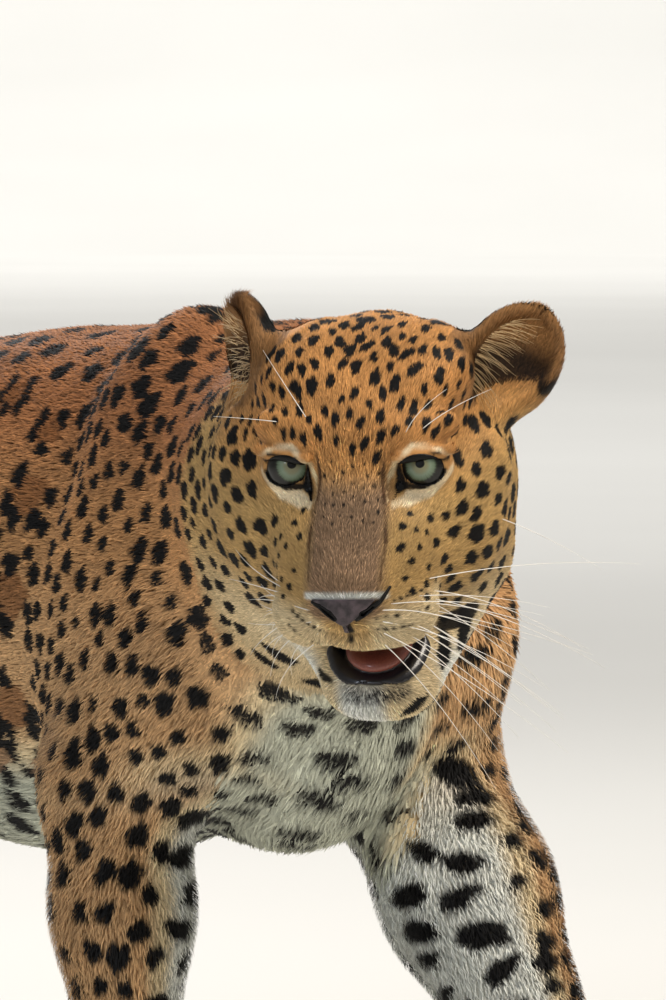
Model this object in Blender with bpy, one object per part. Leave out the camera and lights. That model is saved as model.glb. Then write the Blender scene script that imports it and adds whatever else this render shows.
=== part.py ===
"""A life-size leopard, walking, its head low and turned to its right.

The body is a set of soft-joined balls and rods, read as one distance field. Each part is meshed from that
field at a size of its own and parted from its neighbours by thin flat cuts. The animal faces -Y.
"""
from itertools import combinations
from math import cos, radians, sin

import bmesh
import bpy
import numpy as np
from mathutils import Matrix, Vector

# Stance, in metres. The sides are -1 for the animal's right (-X) and 1 for its left.
GAP = 0.0003
SIDES = (-1, 1)
SIDE_NAME = {-1: "right", 1: "left"}
CENTRE = Vector((-0.0055, 0.1755, 0.0))

# The head has a frame of its own: +X to its left, -Y out of the nose, +Z out of the crown.
HEAD_AT = Vector((-0.0915, -0.5525, 0.594))
HEAD_TURN = (
    Matrix.Rotation(radians(-45.5), 3, "Z")
    @ Matrix.Rotation(radians(24), 3, "X")
    @ Matrix.Rotation(radians(-1), 3, "Y")
)
WORLD = (Matrix.Identity(3), Vector((0, 0, 0)))
HEAD = (HEAD_TURN, HEAD_AT)

# Face
EYE = (0.0443, -0.055, 0.038)
EYE_RADIUS = 0.0168
LID_RADIUS = 0.0192
EYE_CORNER = ((0.0345, -0.0715, 0.0375), (0.0295, -0.0735, 0.0320), (0.0265, -0.0815, 0.0285))
MOUTH = (0.010, -0.105, -0.0745)
MOUTH_SIZE = (0.029, 0.052, 0.0108)
MOUTH_TURN = 5
TONGUE_DROP = 0.003
TONGUE_BED = 0.0085
EAR = {-1: (-0.084, 0.044, 0.069), 1: (0.088, 0.046, 0.062)}
EAR_SIZE = (0.036, 0.018, 0.044)
EAR_LEAN = {-1: 18, 1: 34}
EAR_OUT = {-1: 62, 1: 24}

# Legs: joints from the top down, one entry for each side
SHOULDER = {-1: (-0.090, -0.345, 0.475), 1: (0.100, -0.330, 0.475)}
ELBOW = {-1: (-0.110, -0.268, 0.370), 1: (0.118, -0.300, 0.375)}
WRIST = {-1: (-0.112, -0.290, 0.125), 1: (0.126, -0.480, 0.135)}
FOREPAW = {-1: (-0.114, -0.330, 0.0), 1: (0.126, -0.550, 0.0)}
HIP = {-1: (-0.070, 0.385, 0.555), 1: (0.070, 0.385, 0.555)}
KNEE = {-1: (-0.115, 0.330, 0.385), 1: (0.120, 0.245, 0.385)}
HOCK = {-1: (-0.100, 0.545, 0.225), 1: (0.104, 0.400, 0.205)}
HINDPAW = {-1: (-0.102, 0.520, 0.0), 1: (0.102, 0.315, 0.0)}
SHOULDER_LIFT = {-1: 0.012, 1: -0.005}
SHOULDER_BACK = {-1: -0.315, 1: -0.275}
FOREARM_GIRTH = {-1: 1.0, 1: 1.25}
FOREPAW_SIZE = (0.048, 0.062)
HINDPAW_SIZE = (0.042, 0.055)
TOES = ((-0.68, -0.30), (-0.24, -0.62), (0.24, -0.62), (0.68, -0.30))

# Tail
TAIL_PATH = (
    (0, 0.47, 0.590), (0, 0.545, 0.535), (0, 0.61, 0.42), (0.005, 0.67, 0.29),
    (0.015, 0.76, 0.195), (0.03, 0.87, 0.175), (0.045, 0.96, 0.23), (0.05, 0.99, 0.31),
)
TAIL_STEPS = 3
TAIL_ROOT = 0.030
TAIL_TIP = 0.019
TAIL_BACK = 0.540


class Ball:
    """An ellipsoid, turned by degrees about its own X, Y and Z."""

    def __init__(self, centre, radii, soft=0.03, op="join", frame=WORLD, turn=(0, 0, 0)):
        self.op = op
        self.soft = soft
        spin = Matrix.Identity(3)
        for angle, axis in zip(turn, "XYZ"):
            spin = Matrix.Rotation(radians(angle), 3, axis) @ spin
        self.axes = np.array(frame[0] @ spin)
        self.centre = np.array(frame[1] + frame[0] @ Vector(centre))
        self.radii = np.array(radii)
        reach = np.sqrt(((self.axes * self.radii) ** 2).sum(1))
        self.low = self.centre - reach
        self.high = self.centre + reach

    def distance(self, points):
        local = (points - self.centre) @ self.axes
        scaled = np.sqrt(((local / self.radii) ** 2).sum(1))
        steep = np.sqrt(((local / self.radii**2) ** 2).sum(1))
        return scaled * (scaled - 1) / np.maximum(steep, 1e-9)


class Rod:
    """A rod with round ends and a radius at each end. With flat under 1 it is narrower along side."""

    def __init__(self, start, end, start_radius, end_radius, soft=0.03, op="join", frame=WORLD, flat=1.0):
        self.op = op
        self.soft = soft
        self.flat = flat
        self.start = np.array(frame[1] + frame[0] @ Vector(start))
        self.end = np.array(frame[1] + frame[0] @ Vector(end))
        self.side = np.array(frame[0] @ Vector((1, 0, 0)))
        self.radii = (start_radius, end_radius)
        reach = max(self.radii)
        self.low = np.minimum(self.start, self.end) - reach
        self.high = np.maximum(self.start, self.end) + reach

    def widen(self, vectors):
        return vectors + np.multiply.outer(vectors @ self.side, self.side) * (1 / self.flat - 1)

    def distance(self, points):
        along = self.widen(self.end - self.start)
        local = self.widen(points - self.start)
        share = np.clip(local @ along / (along @ along), 0, 1)
        away = np.sqrt(((local - share[:, None] * along) ** 2).sum(1))
        return (away - self.radii[0] - share * (self.radii[1] - self.radii[0])) * self.flat


def between(a, b, share):
    return tuple(p + (q - p) * share for p, q in zip(a, b))


def head_forms():
    """Skull, face, jaw and ears, in the head's frame. Later forms are joined to the ones before them."""
    forms = []

    def ball(*args, **kw):
        forms.append(Ball(*args, frame=HEAD, **kw))

    def rod(*args, **kw):
        forms.append(Rod(*args, frame=HEAD, **kw))

    ball((0, 0.025, 0.036), (0.068, 0.088, 0.066), 0.03)
    ball((0, -0.028, 0.048), (0.050, 0.046, 0.036), 0.03)
    for s in SIDES:
        # crown, cheek, jaw muscle, face below the eye, cheekbone
        ball((s * 0.038, 0.010, 0.076), (0.034, 0.048, 0.024), 0.02)
        ball((s * 0.052, 0.004, -0.016), (0.037, 0.058, 0.058), 0.025)
        ball((s * 0.040, 0.050, -0.015), (0.042, 0.055, 0.068), 0.03)
        ball((s * 0.045, -0.034, -0.026), (0.033, 0.044, 0.046), 0.025)
        rod((s * 0.050, -0.052, 0.012), (s * 0.072, -0.004, 0.014), 0.012, 0.018, 0.02)
        ball((s * 0.030, -0.078, -0.016), (0.026, 0.040, 0.038), 0.02)
    for s in SIDES:
        # bridge of the nose
        rod((s * 0.009, -0.046, 0.042), (s * 0.0090, -0.126, -0.013), 0.0200, 0.0175, 0.012)
    ball((0, -0.090, -0.028), (0.042, 0.048, 0.033), 0.016)
    for s in SIDES:
        # lip pad that carries the whiskers
        ball((s * 0.028, -0.105, -0.041), (0.028, 0.032, 0.0245), 0.009)
    ball((0, -0.133, -0.027), (0.023, 0.014, 0.015), 0.010)
    ball((0.006, -0.115, -0.0520), (0.027, 0.0205, 0.0125), 0.008)
    # chin, branches of the lower jaw, throat
    ball((0.009, -0.094, -0.1025), (0.032, 0.031, 0.024), 0.012)
    for s in SIDES:
        rod((0.009 + s * 0.017, -0.086, -0.102), (s * 0.046, 0.010, -0.062), 0.023, 0.038, 0.02)
    ball((0, -0.02, -0.085), (0.042, 0.06, 0.035), 0.03)
    for s in SIDES:
        # eye socket, brow, lids and the slit between them
        ball((s * 0.046, -0.080, 0.038), (0.018, 0.018, 0.013), 0.012, op="carve", turn=(0, 0, s * 22))
        rod((s * 0.030, -0.062, 0.063), (s * 0.060, -0.044, 0.062), 0.007, 0.008, 0.014)
        ball((s * EYE[0], EYE[1] + 0.001, EYE[2]), (LID_RADIUS,) * 3, 0.008)
        slit = (s * (EYE[0] + 0.0030), EYE[1] - 0.020, EYE[2] + 0.0045)
        ball(slit, (0.0172, 0.018, 0.0100), 0.002, op="carve", turn=(0, s * 14, s * 16))
        corner = [(s * x, y, z) for x, y, z in EYE_CORNER]
        rod(corner[0], corner[1], 0.0028, 0.0022, 0.003, op="carve")
        rod(corner[1], corner[2], 0.0022, 0.0013, 0.003, op="carve")
        rod((s * 0.029, -0.0750, 0.0530), (s * 0.064, -0.0580, 0.0510), 0.0038, 0.0036, 0.004)
        # nostril and the notch that runs out of it
        ball((s * 0.0115, -0.1460, -0.0285), (0.0062, 0.0075, 0.0042), 0.002, op="carve", turn=(0, s * 25, 0))
        rod((s * 0.0140, -0.1440, -0.0310), (s * 0.0235, -0.1370, -0.0290), 0.0022, 0.0012, 0.002, op="carve")
    rod((0, -0.147, -0.036), (0.001, -0.142, -0.055), 0.0022, 0.0028, 0.004, op="carve")
    ball(MOUTH, MOUTH_SIZE, 0.006, op="carve", turn=(MOUTH_TURN, 0, 0))
    tongue = (MOUTH[0], MOUTH[1] + 0.017, MOUTH[2] - TONGUE_DROP)
    ball(tongue, (0.021, 0.030, 0.0075), 0.003, turn=(MOUTH_TURN, 0, 0))
    for s in SIDES:
        # shell of the ear and its cup
        turn = (0, s * EAR_LEAN[s], s * EAR_OUT[s])
        out = radians(EAR_OUT[s])
        ball(EAR[s], EAR_SIZE, 0.016, turn=turn)
        cup = (EAR[s][0] + s * 0.021 * sin(out), EAR[s][1] - 0.021 * cos(out), EAR[s][2] + 0.006)
        ball(cup, (0.028, 0.025, 0.035), 0.005, op="carve", turn=turn)
    return forms


def paw_forms(at, size):
    """A pad and four toes; the soles reach below the floor and are cut flat there."""
    x, y = at[:2]
    wide, long = size
    forms = [Ball((x, y + 0.012, 0.028), (wide * 0.86, long * 0.72, 0.036), 0.015)]
    for dx, dy in TOES:
        radii = (wide * 0.32, long * 0.46, 0.026)
        forms.append(Ball((x + dx * wide, y + dy * long, 0.020), radii, 0.008, turn=(0, 0, -dx * 12)))
    return forms


def trunk_forms():
    forms = [
        # rib cage, breast, loin, belly, rump, back, withers
        Ball((0, -0.10, 0.492), (0.128, 0.28, 0.183), 0.05),
        Ball((0, -0.320, 0.450), (0.092, 0.120, 0.125), 0.05),
        Ball((0, 0.16, 0.520), (0.108, 0.23, 0.135), 0.06),
        Ball((0, 0.08, 0.415), (0.092, 0.28, 0.102), 0.06),
        Ball((0, 0.375, 0.555), (0.105, 0.150, 0.115), 0.06),
        Ball((0, -0.10, 0.600), (0.070, 0.28, 0.068), 0.05),
        Ball((0, -0.26, 0.605), (0.075, 0.15, 0.080), 0.05),
        # neck, in two bends, and throat
        Rod((0, -0.31, 0.560), (-0.045, -0.43, 0.575), 0.112, 0.100, 0.05),
        Rod((-0.045, -0.43, 0.575), (-0.095, -0.515, 0.590), 0.100, 0.090, 0.04),
        Rod((-0.02, -0.36, 0.47), (-0.075, -0.49, 0.53), 0.080, 0.065, 0.05),
    ]
    for s in SIDES:
        # shoulder blade
        blade = (s * 0.078, SHOULDER_BACK[s], 0.570 + SHOULDER_LIFT[s])
        forms.append(Ball(blade, (0.052, 0.095, 0.125), 0.04, turn=(-15, s * -10, 0)))
    return forms


def foreleg_forms(s):
    girth = FOREARM_GIRTH[s]
    middle = between(ELBOW[s], WRIST[s], 0.35)
    ankle = (WRIST[s][0], (WRIST[s][1] + FOREPAW[s][1]) / 2 + 0.005, 0.055)
    return [
        Ball(SHOULDER[s], (0.052, 0.080, 0.095), 0.04),
        Rod(SHOULDER[s], ELBOW[s], 0.072, 0.056, 0.04, flat=0.8),
        Ball((s * 0.098, -0.255, 0.455), (0.042, 0.075, 0.110), 0.04),
        Rod(ELBOW[s], middle, 0.053 * girth, 0.049 * girth, 0.03, flat=0.92),
        Rod(middle, WRIST[s], 0.049 * girth, 0.034 * girth**0.6, 0.03, flat=0.95),
        Rod(WRIST[s], ankle, 0.034 * girth**0.6, 0.035, 0.02),
    ] + paw_forms(FOREPAW[s], FOREPAW_SIZE)


def hindleg_forms(s):
    middle = between(KNEE[s], HOCK[s], 0.4)
    ankle = (HINDPAW[s][0], HINDPAW[s][1] + 0.035, 0.050)
    return [
        Rod(HIP[s], KNEE[s], 0.105, 0.062, 0.05, flat=0.65),
        Ball((s * 0.078, 0.43, 0.47), (0.050, 0.085, 0.12), 0.05),
        Rod(KNEE[s], middle, 0.058, 0.046, 0.04, flat=0.8),
        Rod(middle, HOCK[s], 0.046, 0.028, 0.03, flat=0.8),
        Rod(HOCK[s], ankle, 0.029, 0.028, 0.02, flat=0.9),
    ] + paw_forms(HINDPAW[s], HINDPAW_SIZE)


def tail_points():
    """A smooth curve through the tail's path."""
    path = [Vector(p) for p in TAIL_PATH]
    points = []
    for i in range(len(path) - 1):
        p0, p1, p2, p3 = path[max(i - 1, 0)], path[i], path[i + 1], path[min(i + 2, len(path) - 1)]
        for step in range(TAIL_STEPS):
            t = step / TAIL_STEPS
            bend = (p2 - p0) * t + (2 * p0 - 5 * p1 + 4 * p2 - p3) * t**2 + (3 * p1 - p0 - 3 * p2 + p3) * t**3
            points.append(p1 + bend / 2)
    points.append(path[-1])
    return points


def tail_forms():
    points = tail_points()
    forms = []
    for i in range(len(points) - 1):
        radii = [TAIL_ROOT + (TAIL_TIP - TAIL_ROOT) * k / (len(points) - 1) for k in (i, i + 1)]
        forms.append(Rod(points[i], points[i + 1], radii[0], radii[1], 0.012 if i else 0.05))
    return forms


def body_forms():
    forms = trunk_forms()
    for s in SIDES:
        forms += foreleg_forms(s)
    for s in SIDES:
        forms += hindleg_forms(s)
    return forms + tail_forms() + head_forms()


FORMS = body_forms()


def field(points):
    """Distance to the body's surface, below zero inside. Each form acts only near itself."""
    total = np.full(len(points), 0.12)
    for form in FORMS:
        margin = form.soft + 0.02
        near = np.flatnonzero(((points > form.low - margin) & (points < form.high + margin)).all(1))
        if not len(near):
            continue
        here = form.distance(points[near])
        so_far = total[near]
        if form.op == "join":
            blend = np.maximum(form.soft - np.abs(so_far - here), 0) / form.soft
            total[near] = np.minimum(so_far, here) - blend**2 * form.soft / 4
        else:
            blend = np.maximum(form.soft - np.abs(so_far + here), 0) / form.soft
            total[near] = np.maximum(so_far, -here) + blend**2 * form.soft / 4
    return total


def sample(function, low, counts, step):
    """Values of a field on a grid of points; far from the surface they are those of a sparse grid."""
    sparse = [low[i] + 4 * step * np.arange(counts[i] // 4 + 2) for i in range(3)]
    rough = function(np.stack(np.meshgrid(*sparse, indexing="ij"), -1).reshape(-1, 3))
    rough = rough.reshape([len(line) for line in sparse])
    values = rough[np.ix_(*[(np.arange(n) + 2) // 4 for n in counts])]
    near = np.argwhere(np.abs(values) < 6 * step)
    for start in range(0, len(near), 200000):
        some = near[start:start + 200000]
        values[tuple(some.T)] = function(low + some * step)
    return values


CORNERS = [(i, j, k) for i in (0, 1) for j in (0, 1) for k in (0, 1)]


def linked(mask):
    """Groups the inside corners of a grid cell: for each corner, the first corner that it is joined to."""
    group = list(range(8))
    for _ in range(8):
        for a in range(8):
            for bit in (1, 2, 4):
                if mask >> a & 1 and mask >> (a ^ bit) & 1:
                    group[a] = group[a ^ bit] = min(group[a], group[a ^ bit])
    return group


def surface(function, low, high, step):
    """Closed quad mesh of a field's zero surface.

    Each grid cell that the surface crosses has one vertex for each group of joined inside corners.
    """
    low = np.array(low)
    counts = tuple(int(n) for n in np.ceil((np.array(high) - low) / step) + 1)
    values = sample(function, low, counts, step)
    inside = values < 0
    masks = np.zeros([n - 1 for n in counts], int)
    for bit, corner in enumerate(CORNERS):
        masks |= inside[tuple(slice(c, c + n) for c, n in zip(corner, masks.shape))].astype(int) << bit
    groups = np.array([linked(mask) for mask in range(256)])
    index = np.full(masks.shape + (8,), -1)
    total = []
    for corner in range(8):
        cells = np.argwhere((groups[masks, corner] == corner) & (masks >> corner & 1 == 1) & (masks < 255))
        index[tuple(cells.T) + (corner,)] = np.arange(len(cells)) + len(total)
        total.extend(np.column_stack([cells, np.full(len(cells), corner)]))
    total = np.array(total)
    spots = np.zeros((len(total), 3))
    hits = np.zeros(len(total))
    cells = total[:, :3]
    kinds = groups[masks[tuple(cells.T)]]
    for bit, corner in enumerate(CORNERS):
        for axis in range(3):
            other = np.array(corner)
            other[axis] = 1 - corner[axis]
            a = values[tuple((cells + corner).T)]
            b = values[tuple((cells + other).T)]
            crossed = (a < 0) & (b >= 0) & (kinds[:, bit] == total[:, 3])
            spot = np.tile(np.array(corner, float), (crossed.sum(), 1))
            spot[:, axis] += (other[axis] - corner[axis]) * a[crossed] / (a[crossed] - b[crossed])
            spots[crossed] += spot
            hits[crossed] += 1
    verts = low + (cells + spots / hits[:, None]) * step
    quads = []
    for axis in range(3):
        first, second = (axis + 1) % 3, (axis + 2) % 3
        below = np.take(inside, range(counts[axis] - 1), axis)
        above = np.take(inside, range(1, counts[axis]), axis)
        edges = np.argwhere(below != above)
        outward = below[tuple(edges.T)]
        ring = []
        for back_first, back_second in ((1, 1), (0, 1), (0, 0), (1, 0)):
            cell = edges.copy()
            cell[:, first] -= back_first
            cell[:, second] -= back_second
            corner = np.zeros_like(edges)
            corner[:, axis] = ~outward
            corner[:, first] = back_first
            corner[:, second] = back_second
            group = groups[masks[tuple(cell.T)], corner @ (4, 2, 1)]
            ring.append(index[tuple(cell.T) + (group,)])
        ring = np.stack(ring, 1)
        ring[~outward] = ring[~outward][:, ::-1]
        quads.append(ring)
    return settle(function, verts), np.concatenate(quads)


def settle(function, verts, rounds=2, reach=1e-4):
    """Moves vertices along the field's slope onto its surface."""
    for _ in range(rounds):
        slope = np.empty_like(verts)
        for axis in range(3):
            nudge = np.eye(3)[axis] * reach
            slope[:, axis] = (function(verts + nudge) - function(verts - nudge)) / (2 * reach)
        steep = np.maximum((slope**2).sum(1), 0.04)
        verts = verts - slope * (function(verts) / steep)[:, None]
    return verts


def keep(point, out, frame=WORLD):
    """A flat cut through a point; out is the direction that is cut away."""
    return (frame[1] + frame[0] @ Vector(point), (frame[0] @ Vector(out)).normalized())


def flip(cut):
    return (cut[0], -cut[1])


def block(name, cuts, inset):
    """Convex block between flat cuts, drawn in from each by inset. Its corners are where three cuts meet."""
    reach = [(Vector(axis) * 2 * way, Vector(axis) * way) for axis in np.eye(3) for way in SIDES]
    planes = list(reach)
    for point, out in cuts:
        planes.append((point, out) if (point, out) == FLOOR else (point - out * inset, out))
    normals = np.array([out for point, out in planes])
    levels = np.array([point.dot(out) for point, out in planes])
    mesh = bmesh.new()
    for three in combinations(range(len(planes)), 3):
        pick = list(three)
        if abs(np.linalg.det(normals[pick])) < 1e-6:
            continue
        corner = np.linalg.solve(normals[pick], levels[pick])
        if (normals @ corner < levels + 1e-7).all():
            mesh.verts.new(corner)
    bmesh.ops.remove_doubles(mesh, verts=mesh.verts, dist=1e-6)
    bmesh.ops.convex_hull(mesh, input=mesh.verts)
    bmesh.ops.delete(mesh, geom=[v for v in mesh.verts if not v.link_faces], context="VERTS")
    bmesh.ops.recalc_face_normals(mesh, faces=mesh.faces)
    return new_object(name, mesh)


def new_object(name, mesh):
    data = bpy.data.meshes.new(name)
    mesh.to_mesh(data)
    mesh.free()
    made = bpy.data.objects.new(name, data)
    bpy.context.scene.collection.objects.link(made)
    return made


def apply_modifiers(made):
    bpy.context.view_layer.update()
    seen = made.evaluated_get(bpy.context.evaluated_depsgraph_get())
    data = bpy.data.meshes.new_from_object(seen)
    made.modifiers.clear()
    made.data = data


def boolean(made, tool, operation):
    modifier = made.modifiers.new("cut", "BOOLEAN")
    modifier.operation = operation
    modifier.solver = "EXACT"
    modifier.object = tool
    apply_modifiers(made)
    bpy.data.objects.remove(tool)


def keep_largest(made):
    """Drops loose scraps: only the largest closed surface stays."""
    mesh = bmesh.new()
    mesh.from_mesh(made.data)
    bmesh.ops.triangulate(mesh, faces=mesh.faces)
    left = set(mesh.faces)
    shells = []
    while left:
        shell = {left.pop()}
        edge = list(shell)
        while edge:
            face = edge.pop()
            for near in (f for e in face.edges for f in e.link_faces if f in left):
                left.discard(near)
                shell.add(near)
                edge.append(near)
        shells.append(shell)
    shells.sort(key=len)
    bmesh.ops.delete(mesh, geom=[f for shell in shells[:-1] for f in shell], context="FACES")
    mesh.to_mesh(made.data)
    mesh.free()


def material(name, colour, rough):
    made = bpy.data.materials.new(name)
    made.use_nodes = True
    shader = made.node_tree.nodes["Principled BSDF"]
    shader.inputs["Base Color"].default_value = (*colour, 1)
    shader.inputs["Roughness"].default_value = rough
    shader.inputs["Metallic"].default_value = 0
    return made


def part(name, cuts, around, step, triangles, look, holes=()):
    """One node: the body's surface in a box, thinned to a number of triangles, cut to its block.

    Where two folds of the surface share a grid cell they touch, and the grid is moved a little until none do.
    """
    low, high = np.array(around)

    def boxed(points):
        return np.maximum(field(points), (np.abs(points - (low + high) / 2) - (high - low) / 2).max(1))

    for attempt in range(4):
        nudge = np.array((0.31, 0.53, 0.17)) * attempt / 4
        verts, quads = surface(boxed, low - (2 + nudge) * step, high + 2 * step, step)
        edges = np.sort(np.concatenate([quads[:, (i, (i + 1) % 4)] for i in range(4)]), 1)
        if (np.unique(edges, axis=0, return_counts=True)[1] == 2).all():
            break
    data = bpy.data.meshes.new(name)
    data.from_pydata(verts.tolist(), [], quads.tolist())
    made = bpy.data.objects.new(name, data)
    bpy.context.scene.collection.objects.link(made)
    thin = made.modifiers.new("thin", "DECIMATE")
    thin.ratio = min(1, triangles / (2 * len(quads)))
    apply_modifiers(made)
    boolean(made, block("cutter", cuts, GAP / 2), "INTERSECT")
    for hole in holes:
        boolean(made, block("cutter", hole, -GAP / 2), "DIFFERENCE")
    finish(made, look)
    return made


def finish(made, look):
    keep_largest(made)
    made.data.shade_smooth()
    made.data.set_sharp_from_angle(angle=radians(50))
    made.data.materials.clear()
    made.data.materials.append(look)


def eyeball(name, s, radius):
    mesh = bmesh.new()
    middle = HEAD_AT + HEAD_TURN @ Vector((s * EYE[0], EYE[1], EYE[2]))
    place = Matrix.Translation(middle) @ HEAD_TURN.to_4x4()
    bmesh.ops.create_icosphere(mesh, subdivisions=3, radius=radius, matrix=place)
    return new_object(name, mesh)


def leg_cut(above, at, below):
    """A cut across a joint, square to the mean of the two bones that meet there."""
    first = (Vector(at) - Vector(above)).normalized()
    second = (Vector(below) - Vector(at)).normalized()
    return keep(at, first + second)


def ear_cuts(s):
    """Foot, inner side, front and back of the block that an ear is cut to."""
    lean = Matrix.Rotation(radians(s * EAR_LEAN[s]), 3, "Y")
    spin = Matrix.Rotation(radians(s * EAR_OUT[s]), 3, "Z") @ lean
    middle = Vector(EAR[s])
    sides = [
        ((0, 0, -0.030), (0, 0, -1)),
        ((-s * 0.033, 0, 0), (-s, 0, 0)),
        ((0, -0.036, 0), (0, -1, 0)),
        ((0, 0.024, 0), (0, 1, 0)),
    ]
    return [keep(middle + spin @ Vector(at), spin @ Vector(way), HEAD) for at, way in sides]


def head_box(middle, reach):
    """Box around a point of the head, square to the world."""
    at = HEAD_AT + HEAD_TURN @ Vector(middle)
    return (at - Vector((reach,) * 3), at + Vector((reach,) * 3))


def side_box(s, low, high):
    """Box on one side of the body; its X sizes are distances from the middle."""
    edges = sorted((s * low[0], s * high[0]))
    return ((edges[0], low[1], low[2]), (edges[1], high[1], high[2]))


def build_head(looks):
    mouth_up = (0, -sin(radians(MOUTH_TURN)), cos(radians(MOUTH_TURN)))
    bed = Vector(MOUTH) - Vector(mouth_up) * TONGUE_BED
    roof = Vector(MOUTH) + Vector(mouth_up) * 0.0062
    chin_cuts = [keep(MOUTH, mouth_up, HEAD), keep((0, -0.046, 0), (0, 1, 0), HEAD)]
    tongue_cuts = [
        flip(keep(bed, mouth_up, HEAD)),
        keep(roof, mouth_up, HEAD),
        keep((0, -0.121, 0), (0, -1, 0), HEAD),
        keep((0, -0.062, 0), (0, 1, 0), HEAD),
        keep((MOUTH[0] - 0.0205, 0, 0), (-1, 0, 0), HEAD),
        keep((MOUTH[0] + 0.0205, 0, 0), (1, 0, 0), HEAD),
    ]
    nose_cuts = [
        keep((0, -0.135, 0), (0, 1, 0), HEAD),
        keep((0, -0.140, -0.0180), (0, -0.3, 1), HEAD),
        keep((0, 0, -0.0355), (0.37, 0, -0.93), HEAD),
        keep((0, 0, -0.0355), (-0.37, 0, -0.93), HEAD),
        keep((-0.0245, 0, -0.025), (-1, 0, -0.5), HEAD),
        keep((0.0245, 0, -0.025), (1, 0, -0.5), HEAD),
    ]
    holes = [chin_cuts, tongue_cuts, nose_cuts, ear_cuts(-1), ear_cuts(1)]
    box = head_box((0, 0, 0), 0.18)
    skull = part("head", [HEAD_CUT, HEAD_FLOOR], box, 0.0034, 5380, looks["tan"], holes)
    for s in SIDES:
        boolean(skull, eyeball("cutter", s, EYE_RADIUS + GAP), "DIFFERENCE")
        finish(eyeball("eye_" + SIDE_NAME[s], s, EYE_RADIUS), looks["iris"])
        box = head_box(EAR[s], 0.075)
        part("ear_" + SIDE_NAME[s], ear_cuts(s) + [HEAD_CUT], box, 0.0034, 700, looks["orange"])
    keep_largest(skull)
    box = head_box((0, -0.09, -0.105), 0.075)
    part("lower_jaw", chin_cuts, box, 0.0034, 1000, looks["cream"], [tongue_cuts])
    part("tongue", tongue_cuts, head_box(MOUTH, 0.05), 0.0024, 400, looks["wet"])
    part("nose_pad", nose_cuts, head_box((0, -0.145, -0.04), 0.032), 0.0014, 740, looks["leather"])


def build_trunk(looks):
    chest_cut = keep((0, 0.04, 0), (0, 1, 0))
    belly_cut = keep((0, 0.24, 0), (0, 1, 0))
    shoulders = [shoulder_cuts(s) for s in SIDES]
    forearms = [forearm_cuts(s) for s in SIDES]
    thighs = [thigh_cuts(s) for s in SIDES]
    shanks = [shank_cuts(s) for s in SIDES]
    neck = [flip(HEAD_CUT), NECK_CUT, NECK_FLOOR]
    part("neck", neck, ((-0.25, -0.60, 0.34), (0.16, -0.25, 0.76)), 0.008, 1300, looks["orange"])
    chest = [flip(NECK_CUT), chest_cut]
    box = ((-0.2, -0.50, 0.28), (0.2, 0.06, 0.78))
    part("chest", chest, box, 0.010, 1500, looks["orange"], shoulders + forearms)
    box = ((-0.2, 0.02, 0.26), (0.2, 0.26, 0.72))
    part("abdomen", [flip(chest_cut), belly_cut], box, 0.010, 1100, looks["orange"], thighs + shanks)
    box = ((-0.2, 0.22, 0.28), (0.2, 0.60, 0.72))
    part("rump", [flip(belly_cut), TAIL_CUT], box, 0.010, 1100, looks["orange"], thighs + shanks)


def shoulder_cuts(s):
    return [
        keep((s * 0.062, 0, 0), (-s, 0, 0)),
        flip(NECK_CUT),
        keep((0, -0.17, 0), (0, 1, 0)),
        keep((0, 0, 0.50), (0, 0, 1)),
        keep((0, 0, 0.345), (0, 0, -1)),
    ]


def forearm_cuts(s):
    ankle = between(WRIST[s], FOREPAW[s], 0.5)
    return [
        keep((s * 0.055, 0, 0), (-s, 0, 0)),
        keep((0, -0.19, 0), (0, 1, 0)),
        keep((0, 0, 0.345), (0, 0, 1)),
        leg_cut(ELBOW[s], WRIST[s], ankle),
    ]


def forepaw_cuts(s):
    ankle = flip(forearm_cuts(s)[3])
    return [keep((s * 0.055, 0, 0), (-s, 0, 0)), ankle, keep((0, -0.19, 0), (0, 1, 0)), FLOOR]


def thigh_cuts(s):
    return [
        keep((s * 0.055, 0, 0), (-s, 0, 0)),
        keep((0, 0.165, 0.36), (0, -0.894, 0.447)),
        keep((0, 0, 0.585), (0, 0, 1)),
        leg_cut(HIP[s], KNEE[s], HOCK[s]),
    ]


def shank_cuts(s):
    ankle = (HINDPAW[s][0], HINDPAW[s][1] + 0.035, 0.050)
    return [
        keep((s * 0.064, 0, 0), (-s, 0, 0)),
        keep((0, 0.17, 0), (0, -1, 0)),
        flip(thigh_cuts(s)[3]),
        leg_cut(KNEE[s], HOCK[s], ankle),
    ]


def hindpaw_cuts(s):
    ankle = flip(shank_cuts(s)[3])
    return [keep((s * 0.045, 0, 0), (-s, 0, 0)), keep((0, 0.12, 0), (0, -1, 0)), ankle, FLOOR]


def build_legs(looks):
    for s in SIDES:
        side = SIDE_NAME[s]
        reach = side_box(s, (0.03, -0.50, 0.32), (0.19, -0.13, 0.54))
        part("upper_foreleg_" + side, shoulder_cuts(s), reach, 0.008, 600, looks["tan"])
        reach = side_box(s, (0.03, -0.56, 0.09), (0.19, -0.16, 0.37))
        part("forearm_" + side, forearm_cuts(s), reach, 0.006, 600, looks["tan"])
        reach = side_box(s, (0.03, -0.64, -0.02), (0.21, -0.20, 0.18))
        part("forepaw_" + side, forepaw_cuts(s), reach, 0.004, 740, looks["cream"])
        reach = side_box(s, (0.03, 0.10, 0.32), (0.21, 0.60, 0.62))
        part("thigh_" + side, thigh_cuts(s), reach, 0.008, 900, looks["orange"])
        reach = side_box(s, (0.03, 0.14, 0.16), (0.19, 0.62, 0.44))
        part("shank_" + side, shank_cuts(s), reach, 0.006, 560, looks["tan"])
        reach = side_box(s, (0.03, 0.20, -0.02), (0.19, 0.66, 0.26))
        part("hindpaw_" + side, hindpaw_cuts(s), reach, 0.004, 690, looks["cream"])


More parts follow.
